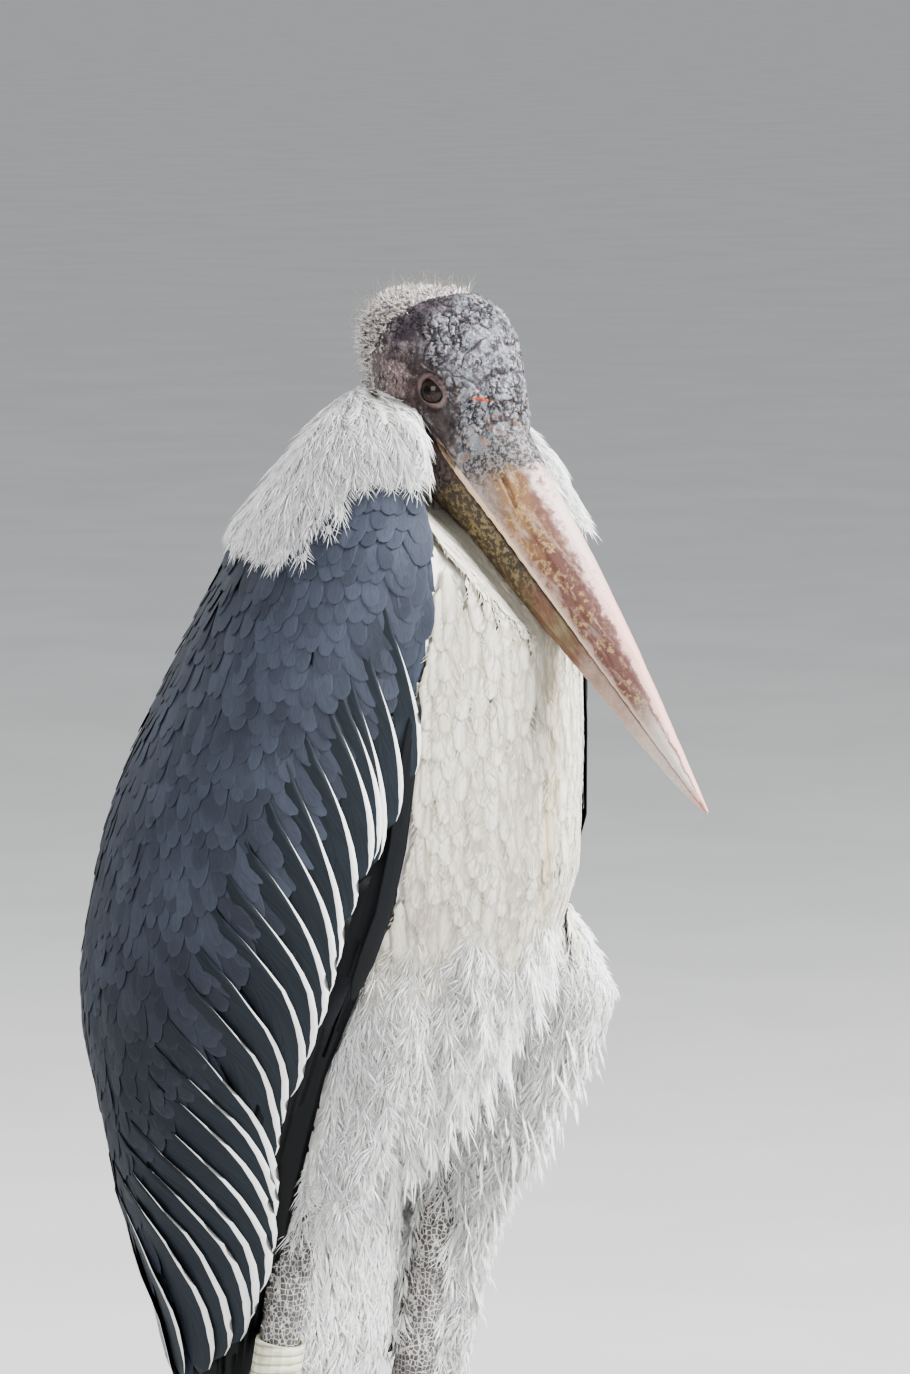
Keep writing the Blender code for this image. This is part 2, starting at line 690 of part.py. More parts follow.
def make_leg(word, side):
    shank = make_shank("shank_" + word, side)
    make_tarsus("tarsus_" + word, side)
    pad = make_pad("foot_" + word, side)
    for place, (degrees, length, width, height) in TOES.items():
        toe = make_toe(f"toe_{word}_{place}", side, degrees, length, width, height)
        cut(toe, [pad])
        make_claw(f"claw_{word}_{place}", side, degrees, length)
    return shank


def main():
    for made in list(bpy.data.objects):
        bpy.data.objects.remove(made)
    head, upper, lower = make_head_group()
    trunk = make_trunk()
    cut(trunk, [head, upper, lower], BILL_CLEARANCE)
    cut(trunk, [make_hollow()])
    neck = make_neck()
    cut(neck, [head, lower], 2 * SOFT_GAP)
    mantle = make_mantle()
    cut(mantle, [trunk, neck, head], SOFT_GAP)
    ruff = make_ruff()
    cut(ruff, [make_cloak_core()], 2 * SOFT_GAP)
    cut(ruff, [trunk, neck, head, lower, make_throat_gap()], SOFT_GAP)
    shanks = {word: make_leg(word, side) for word, side in SIDES}
    for shank in shanks.values():
        cut(shank, [trunk], SOFT_GAP)
    make_ring()
    tail = make_tail()
    rooms = {word: make_wing_room(side) for word, side in SIDES}
    cut(tail, [trunk, *rooms.values()], SOFT_GAP)
    down = make_down()
    cut(down, [trunk, tail, *shanks.values(), *rooms.values()], SOFT_GAP)
    for word, side in SIDES:
        coverts = make_coverts("wing_" + word, side)
        quills = make_flight_feathers("flight_feathers_" + word, side)
        make_wing_tip("wing_tip_" + word, side)
        cut(coverts, [trunk, neck, head, lower], SOFT_GAP)
        cut(quills, [trunk], SOFT_GAP)
        thigh = make_thigh("thigh_" + word, side, THIGH_STATIONS[word])
        cut(thigh, [trunk, rooms[word], shanks[word]], SOFT_GAP)
        cut(down, [thigh], SOFT_GAP)
    bird = bpy.data.objects.new("bird", None)
    bpy.context.scene.collection.objects.link(bird)
    bird.location = BIRD_PLACE
    for made in list(bpy.data.objects):
        if made is not bird:
            made.parent = bird


main()
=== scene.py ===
"""The looks of a marabou stork: one skin, its plumage, head, bill, eyes, legs, ring and stage.

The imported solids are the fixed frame. Each tract of feathers is laid over the skin as a joined
mesh, every feather following the surface from its root to its tip.
"""

import contextlib
import math

import bmesh
import bpy
import numpy as np
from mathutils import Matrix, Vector, noise
from mathutils.bvhtree import BVHTree


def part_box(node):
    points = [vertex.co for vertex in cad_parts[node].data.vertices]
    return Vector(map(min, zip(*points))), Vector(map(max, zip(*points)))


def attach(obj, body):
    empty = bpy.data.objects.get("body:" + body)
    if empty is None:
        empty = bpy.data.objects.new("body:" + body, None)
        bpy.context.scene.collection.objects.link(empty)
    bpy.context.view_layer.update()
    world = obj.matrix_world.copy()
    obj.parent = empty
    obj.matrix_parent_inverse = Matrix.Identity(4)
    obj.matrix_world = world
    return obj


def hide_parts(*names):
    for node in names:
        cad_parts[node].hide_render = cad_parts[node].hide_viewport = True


bl_info = {
    "name": "Marabou stork",
    "version": (1, 0, 0),
    "blender": (4, 5, 0),
    "location": "3D View > Sidebar > Stork",
    "description": "Skin, plumage, head, bill and legs of a marabou stork standing at rest",
    "category": "Object",
}

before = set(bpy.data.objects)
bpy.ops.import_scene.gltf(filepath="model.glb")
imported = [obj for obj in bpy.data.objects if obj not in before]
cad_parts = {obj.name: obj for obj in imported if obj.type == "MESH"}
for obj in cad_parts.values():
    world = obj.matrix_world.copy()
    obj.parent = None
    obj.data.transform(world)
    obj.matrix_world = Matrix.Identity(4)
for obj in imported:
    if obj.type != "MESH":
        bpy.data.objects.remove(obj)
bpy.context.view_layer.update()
SIDES = (("right", -1), ("left", 1))
TOES = ("inner", "middle", "outer", "back")


# ---- places, from the frame ----
def middle_of(node):
    low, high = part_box(node)
    return (low + high) / 2


MIDDLE_X = (middle_of("foot_right").x + middle_of("foot_left").x) / 2
AXIS_START_Y = middle_of("foot_right").y + 0.010  # the body axis's own zero in Y
EYE_MIDDLE = (middle_of("eye_right") + middle_of("eye_left")) / 2
EYE_OUT = abs(middle_of("eye_left").x - MIDDLE_X)
EYE_RADIUS = (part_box("eye_left")[1].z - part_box("eye_left")[0].z) / 2
BILL_PITCH = math.radians(48.9)
FORWARD = Vector((0, -math.cos(BILL_PITCH), -math.sin(BILL_PITCH)))
UPWARD = Vector((0, -math.sin(BILL_PITCH), math.cos(BILL_PITCH)))
EYE_ALONG, EYE_UP = -0.043, 0.023  # from the middle of the bill's base
BILL_BASE = EYE_MIDDLE - FORWARD * EYE_ALONG - UPWARD * EYE_UP

# The cloak of the folded wings, level by level: height, Y of its middle, half width, half depth.
CLOAK = (
    (0.210, 0.085, 0.040, 0.020), (0.270, 0.070, 0.064, 0.040), (0.330, 0.053, 0.086, 0.058),
    (0.420, 0.035, 0.121, 0.110), (0.515, 0.034, 0.138, 0.135), (0.590, 0.014, 0.151, 0.166),
    (0.680, -0.002, 0.150, 0.161), (0.790, -0.032, 0.135, 0.137), (0.880, -0.060, 0.1125, 0.1125),
    (0.940, -0.067, 0.064, 0.064), (0.966, -0.068, 0.036, 0.036),
)

LEG_PAIRS = ("shank", "tarsus", "foot")

# How deep the skin lies under the tips of the coat, by tract.
COAT_DEPTH = {
    "mantle": 0.0035, "wing": 0.0035, "flight_feathers": 0.0035, "wing_tip": 0.0030,
    "trunk": 0.0050, "ruff": 0.0070, "thigh": 0.0080, "vent_down": 0.0080, "neck": 0.0010,
    "head": 0.0, "shank": 0.0, "tarsus": 0.0, "foot": 0.0, "toe": 0.0,
}

# Where the greater coverts' pale edges begin and end on the folded wing: height, and angle from
# the side (0) towards the front (90) or the back (-90).
STRIPE_STARTS = (
    (0.8295, 39.7), (0.785, 34.2), (0.7666, 30.2), (0.727, 23.0), (0.677, 18.0), (0.629, 12.3),
    (0.581, 6.5), (0.535, 0.0), (0.497, -8.0), (0.470, -22.0), (0.457, -42.0), (0.450, -62.0),
    (0.445, -86.0),
)
STRIPE_TIPS = (
    (0.727, 50.1), (0.683, 43.9), (0.6643, 41.2), (0.614, 36.6), (0.569, 34.7), (0.520, 33.6),
    (0.470, 30.5), (0.425, 29.5), (0.385, 28.2), (0.350, 22.5), (0.322, 5.0), (0.308, -30.0),
    (0.300, -80.0),
)
WING_FRONT = (  # height, angle of the folded wing's leading edge
    (0.21, 30.0), (0.388, 33.0), (0.443, 38.0), (0.515, 45.0), (0.548, 41.5), (0.593, 43.5),
    (0.640, 50.0), (0.686, 53.0), (0.780, 51.0), (0.880, 47.0), (0.950, 40.0),
)
LAPPET_ANGLE = 46.0  # where the collar's left side hangs lowest
RUFF_FRINGE = (  # angle, height of the lower edge of the white collar
    (-90.0, 0.888), (-54.0, 0.888), (-18.0, 0.877), (-6.0, 0.879), (-2.0, 0.900), (3.0, 0.918),
    (15.0, 0.927), (31.0, 0.924), (50.0, 0.944), (90.0, 0.950),
)
# Height, and angle where the wing's coverts meet the feathers of the back.
CREASE = ((0.50, -30.0), (0.60, -34.0), (0.69, -27.7), (0.74, -20.0), (0.81, -9.0), (0.88, 2.0))


# ---- settings ----
def length_setting(name, description, default):
    return bpy.props.FloatProperty(
        name=name, description=description, default=default, min=0.0, unit="LENGTH"
    )


def colour_setting(name, description, default):
    return bpy.props.FloatVectorProperty(
        name=name, description=description, default=default, size=3, min=0.0, max=1.0, subtype="COLOR",
    )


class StorkSizes(bpy.types.PropertyGroup):
    """Sizes of the plumage and of the skin's detail."""

    scallop_length: length_setting("Scallop length", "Length of a small feather of the back", 0.036)
    covert_length: length_setting("Covert length", "Length of a lesser wing covert", 0.044)
    breast_length: length_setting("Breast feather", "Length of a breast feather", 0.046)
    down_length: length_setting("Down length", "Length of a thigh or vent plume", 0.050)
    ruff_length: length_setting("Ruff plume", "Length of a plume of the white collar", 0.060)
    wisp_length: length_setting("Head wisp", "Length of the hair-like feathers on the crown", 0.016)
    lid_width: length_setting("Lid width", "Width of the eyelids' rim", 0.0036)


class StorkColours(bpy.types.PropertyGroup):
    """Main colours, linear."""

    slate: colour_setting("Slate", "Back and wing coverts", (0.039, 0.045, 0.061))
    covert: colour_setting("Dark covert", "Greater coverts inside their pale edge", (0.013, 0.018, 0.024))
    quill: colour_setting("Flight feather", "Bare flight feathers and tail", (0.0040, 0.0048, 0.0062))
    edge: colour_setting("Covert edge", "Pale edge of the greater coverts", (0.70, 0.71, 0.69))
    cream: colour_setting("Breast", "Cream of the breast", (0.90, 0.825, 0.66))
    white: colour_setting("White down", "Ruff, thighs and vent", (0.92, 0.91, 0.885))
    skin: colour_setting("Bare skin", "Grey of the bare head", (0.135, 0.145, 0.165))
    horn: colour_setting("Bill", "Pink of the bill's ridge and tip", (0.56, 0.38, 0.33))


# ---- numbers ----
def unit(vectors):
    return vectors / np.maximum(np.linalg.norm(vectors, axis=-1, keepdims=True), 1e-12)


def smooth_step(low, high, value):
    t = np.clip((np.asarray(value, float) - low) / (high - low), 0.0, 1.0)
    return t * t * (3 - 2 * t)


def bell(value, middle, width):
    return np.exp(-(((value - middle) / width) ** 2))


def line_through(stations, at):
    rows = sorted(stations)
    return np.interp(at, [row[0] for row in rows], [row[1] for row in rows])


def along_rows(rows, share):
    """A row's values at a share of the way through an ordered table."""
    places = np.linspace(0, 1, len(rows))
    return [np.interp(share, places, [row[i] for row in rows]) for i in range(len(rows[0]))]


def cloak_level(height):
    """Middle Y, half width and half depth of the cloak at a height."""
    heights = [row[0] for row in CLOAK]
    middle, half_width, half_depth = (
        np.interp(height, heights, [row[i] for row in CLOAK]) for i in (1, 2, 3)
    )
    return AXIS_START_Y + middle, half_width, half_depth


def body_axis(height):
    return MIDDLE_X, cloak_level(height)[0]


def cloak_angle(points):
    """Angle on the cloak in degrees: 0 at the side, 90 at the front, -90 at the back."""
    middle, half_width, half_depth = cloak_level(points[..., 2])
    out = np.abs(points[..., 0] - MIDDLE_X) / half_width
    return np.degrees(np.arctan2((middle - points[..., 1]) / half_depth, out))


def head_places(points):
    """Along the bill, up from it, and out to the left, of points in the row frame."""
    rel = points - np.array(BILL_BASE)
    return rel @ np.array(FORWARD), rel @ np.array(UPWARD), points[:, 0] - MIDDLE_X


def node_kind(node):
    """The tract that a node belongs to."""
    for kind in ("flight_feathers", "vent_down", "wing_tip"):
        if node.startswith(kind):
            return kind
    return node.split("_")[0]


# ---- meshes ----
def coordinates(mesh, what="co"):
    flat = np.empty(len(mesh.vertices) * 3)
    mesh.vertices.foreach_get(what, flat)
    return flat.reshape(-1, 3)


def normals(mesh):
    return coordinates(mesh, "normal")


def set_coordinates(mesh, points):
    mesh.vertices.foreach_set("co", np.ascontiguousarray(points, np.float32).ravel())
    mesh.update()


def linked(name, mesh):
    made = bpy.data.objects.new(name, mesh)
    bpy.context.scene.collection.objects.link(made)
    return made


@contextlib.contextmanager
def editing(mesh):
    """The mesh as a bmesh, written back at the end."""
    bm = bmesh.new()
    bm.from_mesh(mesh)
    yield bm
    bm.to_mesh(mesh)
    bm.free()


MOST_GROWTH = 1.6  # how much further a sharp corner may be moved than a flat place


def merged_copy(nodes, grow=0.0):
    """Copies of CAD nodes in one mesh, doubles merged, each grown a little."""
    mesh = bpy.data.meshes.new("copy")
    with editing(mesh) as whole:
        for node in nodes:
            held = bpy.data.meshes.new("held")
            with editing(held) as part:
                part.from_mesh(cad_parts[node].data)
                bmesh.ops.remove_doubles(part, verts=part.verts[:], dist=1e-5)
                part.normal_update()
                moves = [v.normal * min(v.calc_shell_factor(), MOST_GROWTH) * grow for v in part.verts]
                for vertex, move in zip(part.verts, moves):
                    vertex.co += move
            whole.from_mesh(held)
            bpy.data.meshes.remove(held)
    return mesh


def baked(obj, name):
    """The object's mesh with its modifiers applied. The object itself goes."""
    graph = bpy.context.evaluated_depsgraph_get()
    mesh = bpy.data.meshes.new_from_object(obj.evaluated_get(graph))
    mesh.name = name
    old = obj.data
    bpy.data.objects.remove(obj)
    bpy.data.meshes.remove(old)
    return mesh


def bill_root(length):
    """The first part of both halves of the bill, which the skin of the face runs over."""
    mesh = merged_copy(["bill_upper", "bill_lower"])
    end = BILL_BASE + FORWARD * length
    with editing(mesh) as bm:
        whole = bm.verts[:] + bm.edges[:] + bm.faces[:]
        bmesh.ops.bisect_plane(bm, geom=whole, plane_co=end, plane_no=FORWARD, clear_outer=True)
        bmesh.ops.holes_fill(bm, edges=[edge for edge in bm.edges if edge.is_boundary], sides=0)
    return mesh


def remeshed(name, nodes, voxel, smoothing, grow=0.0, more=None):
    """One closed, even mesh round the nodes, with their facets smoothed away."""
    mesh = merged_copy(nodes, grow)
    if more is not None:
        with editing(mesh) as bm:
            bm.from_mesh(more)
        bpy.data.meshes.remove(more)
    obj = linked(name, mesh)
    remesh = obj.modifiers.new("remesh", "REMESH")
    remesh.mode = "VOXEL"
    remesh.voxel_size = voxel
    smooth = obj.modifiers.new("smooth", "SMOOTH")
    smooth.factor = 0.5
    smooth.iterations = smoothing
    return baked(obj, name)


def keep_outermost(mesh):
    """Removes the closed shells that lie inside the largest one."""
    with editing(mesh) as bm:
        left, shells = set(bm.verts), []
        while left:
            start = left.pop()
            shell, edge = {start}, [start]
            while edge:
                for link in edge.pop().link_edges:
                    fresh = [vertex for vertex in link.verts if vertex not in shell]
                    shell.update(fresh)
                    edge += fresh
            left -= shell
            shells.append(shell)
        for shell in sorted(shells, key=len)[:-1]:
            bmesh.ops.delete(bm, geom=list(shell), context="VERTS")
    return mesh


def noise_at(points, scale):
    """Smooth noise at each point, at one scale or at one for each axis."""
    if np.ndim(scale) == 0:
        return np.array([noise.noise(Vector(point) * scale) for point in points])
    return np.array([noise.noise(Vector(row)) for row in np.asarray(points) * scale])


class Form:
    """The outer form of the plumage, to be asked for surface points and the tract there."""

    def __init__(self, mesh, nodes):
        self.normals = normals(mesh)
        self.faces = [tuple(face.vertices) for face in mesh.polygons]
        self.centres = np.array([tuple(face.center) for face in mesh.polygons])
        self.tree = BVHTree.FromPolygons([tuple(p) for p in coordinates(mesh)], self.faces)
        points, faces, self.owner = [], [], []
        for node in nodes:
            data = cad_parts[node].data
            first = len(points)
            points += [tuple(v.co) for v in data.vertices]
            for face in data.polygons:
                faces.append(tuple(first + i for i in face.vertices))
                self.owner.append(node)
        self.nodes = BVHTree.FromPolygons(points, faces)

    def normal_at(self, index):
        return unit(self.normals[list(self.faces[index])].sum(axis=0))

    def nearest(self, point):
        place, _, index, _ = self.tree.find_nearest(Vector(point))
        return np.array(place), self.normal_at(index)

    def from_outside(self, height, turn, centre=None, reach=0.4):
        """The outermost point at a height, seen in a direction from an upright axis."""
        x, y = centre or body_axis(height)
        out = Vector((math.cos(turn), math.sin(turn), 0))
        place, _, index, _ = self.tree.ray_cast(Vector((x, y, height)) + out * reach, -out, reach)
        return (None, None) if place is None else (np.array(place), self.normal_at(index))

    def node_at(self, point):
        return self.owner[self.nodes.find_nearest(Vector(point))[2]]

    def owners(self):
        """The node under each face's middle, found once."""
        if not hasattr(self, "found"):
            self.found = [self.node_at(centre) for centre in self.centres]
        return self.found


def turn_of(side, degrees, height):
    """Direction about the body's axis of an angle on the cloak."""
    _, half_width, half_depth = cloak_level(height)
    across = side * half_width * math.cos(math.radians(degrees))
    return math.atan2(-half_depth * math.sin(math.radians(degrees)), across)


# ---- feather shapes ----
# A shape's points are t along the feather, s across it in half widths, and c above it in metres.
class Shape:
    """One feather, to be laid many times."""

    def __init__(self, t, s, c, faces, vane):
        self.t, self.s, self.c = (np.array(values, float) for values in (t, s, c))
        self.faces = np.array(faces, int)
        self.vane = np.array(vane, float)


def joined_shapes(shapes):
    counts = [len(shape.t) for shape in shapes]
    firsts = np.cumsum([0, *counts[:-1]])
    faces = [shape.faces + first for shape, first in zip(shapes, firsts)]
    t, s, c, vane = ([getattr(shape, name) for shape in shapes] for name in ("t", "s", "c", "vane"))
    return Shape(*(np.concatenate(part) for part in (t, s, c, faces, vane)))


def vane_shape(outline, places, across, thickness, frays=None):
    """A closed, thin blade: rings of points across the feather, with a point at each end."""
    columns = np.linspace(-1, 1, across)
    ring_s = np.concatenate([columns, columns[-2:0:-1]])
    ring_top = np.concatenate([np.ones(across), -np.ones(across - 2)])
    ring_c = ring_top * thickness * (1 - ring_s**2)
    count = len(ring_s)
    t, s, c, vane = [places[0]], [0.0], [0.0], [(0.5, 0.0)]
    for place in places[1:-1]:
        width = outline(place)
        pulls = np.zeros(count) if frays is None else frays(place, ring_s)
        t += list(place + pulls)
        s += list(ring_s * width)
        c += list(ring_c)
        vane += [(0.5 + 0.5 * x, place) for x in ring_s]
    t.append(places[-1])
    s.append(0.0)
    c.append(0.0)
    vane.append((0.5, 1.0))
    faces = []
    rings = len(places) - 2
    for k in range(rings - 1):
        for j in range(count):
            a, b = 1 + k * count + j, 1 + k * count + (j + 1) % count
            faces += [(a, b, b + count), (a, b + count, a + count)]
    end, last = len(t) - 1, 1 + (rings - 1) * count
    for j in range(count):
        faces.append((0, 1 + (j + 1) % count, 1 + j))
        faces.append((end, last + j, last + (j + 1) % count))
    return Shape(t, s, c, faces, vane)


SLENDER = 4.0  # a soft feather's length to its half width, near enough for the slant of its barbs


def barb(t0, s0, t1, s1, width, rise):
    """A closed needle from one place on the feather to another, with a raised middle."""
    tm, sm = t0 + (t1 - t0) * 0.45, s0 + (s1 - s0) * 0.45
    size = max(math.hypot((t1 - t0) * SLENDER, s1 - s0), 1e-6)
    dt, ds = -(s1 - s0) / size * width / SLENDER, (t1 - t0) * SLENDER / size * width
    t = [t0, tm - dt, tm + dt, tm, t1]
    s = [s0, sm - ds, sm + ds, sm, s1]
    c = [0.0, 0.0, 0.0, rise, rise * 0.3]
    faces = [(0, 3, 1), (0, 2, 3), (0, 1, 2), (4, 1, 3), (4, 3, 2), (4, 2, 1)]
    vane = [(0.5 + 0.5 * x, min(max(y, 0.0), 1.0)) for x, y in zip(s, t)]
    return Shape(t, s, c, faces, vane)


def rounded(start, end, power=2.0):
    """An outline that swells from the root and closes in a round tip."""

    def outline(t):
        swell = min(1.0, t / start) ** 0.6
        close = max(0.0, 1 - (max(0.0, t - end) / (1 - end)) ** power) ** 0.5
        return swell * close

    return outline


def plume_shapes(draw, variants, barbs, reach, core, splay, hair=0.030):
    """Soft feathers: a narrow blade with loose needles that give it a frayed edge."""
    shapes = []
    outline = rounded(0.25, 0.55)
    for _ in range(variants):
        places = (0.0, 0.12, 0.40, 0.68, 0.86, 0.93)
        parts = [vane_shape(lambda t: outline(t) * core, places, 5, 0.0003)]
        for i in range(barbs):
            side = 1 if i % 2 else -1
            t0 = 0.10 + 0.82 * (i + draw.uniform(0, 1)) / barbs
            width = outline(min(t0, 0.96))
            loose = (1.0 - core * 0.5) * width * draw.uniform(0.55, 1.1)
            out = side * (core * width * 0.7 + loose + 0.05)
            ahead = reach * draw.uniform(0.7, 1.25)
            rise = splay * draw.uniform(0.1, 1.0)
            start = side * core * width * 0.3
            wide = hair * draw.uniform(0.7, 1.3)
            parts.append(barb(t0, start, t0 + ahead, out, wide, 0.0002 + rise))
        for i in range(max(3, barbs // 6)):
            t0 = draw.uniform(0.62, 0.86)
            out = draw.uniform(-0.35, 0.35)
            parts.append(barb(t0, out * 0.4, t0 + reach * draw.uniform(0.8, 1.3), out, hair, 0.0004))
        shapes.append(joined_shapes(parts))
    return shapes


def fluff_shapes(draw, variants, hairs, reach, height, hair=0.030):
    """Downy feathers without a blade: curved hairs that leave the shaft on all sides."""
    shapes = []
    for _ in range(variants):
        parts = []
        for i in range(hairs):
            side = 1 if i % 2 else -1
            t0 = 0.02 + 0.62 * (i + draw.uniform(0, 1)) / hairs
            ahead = reach * draw.uniform(0.6, 1.3)
            out = side * draw.uniform(0.15, 1.15)
            wide = hair * draw.uniform(0.6, 1.3)
            parts.append(barb(t0, out * 0.12, t0 + ahead, out, wide, height * draw.uniform(0.1, 1.0)))
        shapes.append(joined_shapes(parts))
    return shapes


def covert_shapes(draw, variants, across, places, thickness, start=0.30, end=0.58, fray=0.012):
    """Firm feathers with a slightly ragged round edge."""
    shapes = []
    for _ in range(variants):
        wave = draw.uniform(0, 6.28, 4)

        def frays(place, ring_s, wave=wave):
            edge = smooth_step(0.35, 1.0, np.abs(ring_s))
            return fray * edge * np.sin(9 * ring_s + wave[0] + 21 * place) * place

        shapes.append(vane_shape(rounded(start, end), places, across, thickness, frays))
    return shapes


class Tract:
    """Feathers to be joined in one piece, gathered as they are laid."""

    SAG = 0.22  # twice the radius that a feather bends to across its width
    PATCH = 0.003  # side of a feather's own patch on the map for the bake
    MOST_FACES = 200000

    def __init__(self):
        self.parts = []  # points, faces, vane, patch, tone and tops of each lot of feathers
        self.first = 0

    def lay(self, shape, spines, tops, half_width, lift, unwrap, tone, tilt=0.0, side=1.0):
        """Lays one shape along many spines: arrays of spine points and of normals there."""
        count, stations = spines.shape[0], spines.shape[1]
        at = np.clip(shape.t, 0, 1) * (stations - 1)
        k = np.minimum(at.astype(int), stations - 2)
        f = (at - k)[None, :, None]
        ahead = unit(np.gradient(spines, axis=1))
        base = spines[:, k] * (1 - f) + spines[:, k + 1] * f
        top = unit(tops[:, k] * (1 - f) + tops[:, k + 1] * f)
        forward = unit(ahead[:, k] * (1 - f) + ahead[:, k + 1] * f)
        length = np.linalg.norm(np.diff(spines, axis=1), axis=2).sum(axis=1)
        beyond = np.where(shape.t > 1, shape.t - 1, np.minimum(shape.t, 0))
        base = base + forward * (beyond[None, :] * length[:, None])[..., None]
        across = unit(np.cross(forward, top)) * np.reshape(side, (-1, 1, 1))
        half_width = np.broadcast_to(half_width, (count,))
        tilt = np.broadcast_to(tilt, (count,))
        low, high = (np.broadcast_to(value, (count,)) for value in lift)
        rise = low[:, None] + (high - low)[:, None] * shape.t[None, :]
        rise = rise + shape.c[None, :] + tilt[:, None] * shape.s[None, :]
        rise = rise - (half_width**2 / self.SAG)[:, None] * shape.s[None, :] ** 2
        out = across * (shape.s[None, :] * half_width[:, None])[..., None]
        points = base + out + top * rise[..., None]
        faces = shape.faces if np.all(np.asarray(side) > 0) else shape.faces[:, ::-1]
        faces = faces[None] + (self.first + np.arange(count) * len(shape.t))[:, None, None]
        vane = np.broadcast_to(shape.vane, (count, *shape.vane.shape)).reshape(-1, 2)
        patch = unwrap(spines[:, 0])[:, None, :] + (shape.vane - 0.5)[None] * self.PATCH
        points, faces, tops = (values.reshape(-1, 3) for values in (points, faces, top))
        tone = np.repeat(tone, len(shape.t))
        self.parts.append((points, faces, vane, patch.reshape(-1, 2), tone, tops))
        self.first += len(points)

    def lay_one(self, shapes, i, spine, tops, half_width, lift, draw, tilt=0.0, side=1.0):
        """Lays one feather, with the shapes taken in turn."""
        tone = np.array([draw.uniform()])
        shape, spines, tops = shapes[i % len(shapes)], spine[None], tops[None]
        self.lay(shape, spines, tops, half_width, lift, SKIN_UNWRAP, tone, tilt, side)

    def piece(self, name, finish, slot, *replaces, soften=0.0):
        points, faces, vane, patch, tone, tops = (np.concatenate(part) for part in zip(*self.parts))
        if len(faces) >= self.MOST_FACES:
            raise RuntimeError(f"{name} has {len(faces)} triangles")
        mesh = bpy.data.meshes.new(name)
        mesh.from_pydata(points.tolist(), [], faces.tolist())
        for layer, values in (("OFBake", patch), ("vane", vane)):
            mesh.uv_layers.new(name=layer).data.foreach_set("uv", values[faces.ravel()].ravel())
        mesh.attributes.new("tone", "FLOAT", "POINT").data.foreach_set("value", tone)
        mesh.shade_smooth()
        if soften:
            own = normals(mesh)
            upper = smooth_step(-0.7, -0.1, (own * tops).sum(axis=1))[:, None] * soften
            eased = unit(own * (1 - upper) + tops * upper)
            mesh.normals_split_custom_set_from_vertices(eased.tolist())
        mesh.materials.append(finish)
        finish_piece(linked(name, mesh), slot, *replaces)


def show(mesh, name, material, slot, *replaced):
    """A finished piece from a mesh."""
    mesh.materials.append(material)
    mesh.shade_smooth()
    finish_piece(linked(name, mesh), slot, *replaced)


def finish_piece(obj, slot, *replaced):
    if replaced:
        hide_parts(*replaced)
    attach(obj, "root")


def round_unwrap(centre, low, high):
    """An unwrap of the skin about an upright axis: the turn and the height, as a unit square."""

    def unwrap(points):
        x, y = centre(points[:, 2]) if callable(centre) else centre
        turn = np.arctan2(points[:, 1] - y, points[:, 0] - x) / (2 * math.pi) + 0.5
        height = (points[:, 2] - low) / (high - low)
        return 0.01 + 0.98 * np.clip(np.stack([turn, height], axis=-1), 0, 1)

    return unwrap


def grow_spines(form, roots, heading, lengths, stations, turns):
    """Spines that follow the form from each root in the direction that heading gives there."""
    spines = np.empty((len(roots), stations, 3))
    tops = np.empty_like(spines)
    for i, (root, length) in enumerate(zip(roots, lengths)):
        place, top = form.nearest(root)
        spines[i, 0], tops[i, 0] = place, top
        for k in range(1, stations):
            ahead = heading(place)
            ahead = ahead - top * (ahead @ top)
            ahead = ahead / max(np.linalg.norm(ahead), 1e-9)
            ahead = ahead + np.cross(top, ahead) * turns[i]
            place, top = form.nearest(place + ahead * (length / (stations - 1)))
            spines[i, k], tops[i, k] = place, top
    return spines, tops


BODY_RADIUS = 0.145  # about the cloak's half width, for the count of roots in a row


def ring_roots(form, heights, spacing, accept, draw):
    """Staggered rows of roots round the body's axis, where accept says so."""
    found = []
    count = int(2 * math.pi * BODY_RADIUS / spacing)
    for row, height in enumerate(heights):
        for i in range(count):
            turn = 2 * math.pi * (i + 0.5 * (row % 2) + draw.uniform(-0.16, 0.16)) / count
            at = height + spacing * draw.uniform(-0.14, 0.14)
            place, _ = form.from_outside(at, turn)
            if place is not None and accept(place, form.node_at(place)):
                found.append(place)
    return np.array(found)


def scattered_roots(form, spacing, accept, draw):
    """Roots spread evenly over every part of the form that accept takes, hidden folds included."""
    owners = form.owners()
    fits = [i for i, centre in enumerate(form.centres) if accept(centre, owners[i])]
    taken, roots = {}, []
    steps = [(i, j, k) for i in (-1, 0, 1) for j in (-1, 0, 1) for k in (-1, 0, 1)]
    for i in draw.permutation(fits):
        place = form.centres[i]
        cell = tuple((place // spacing).astype(int))
        around = (taken.get((cell[0] + a, cell[1] + b, cell[2] + c)) for a, b, c in steps)
        if all(other is None or np.linalg.norm(other - place) > spacing for other in around):
            taken[cell] = place
            roots.append(place)
    return np.array(roots)


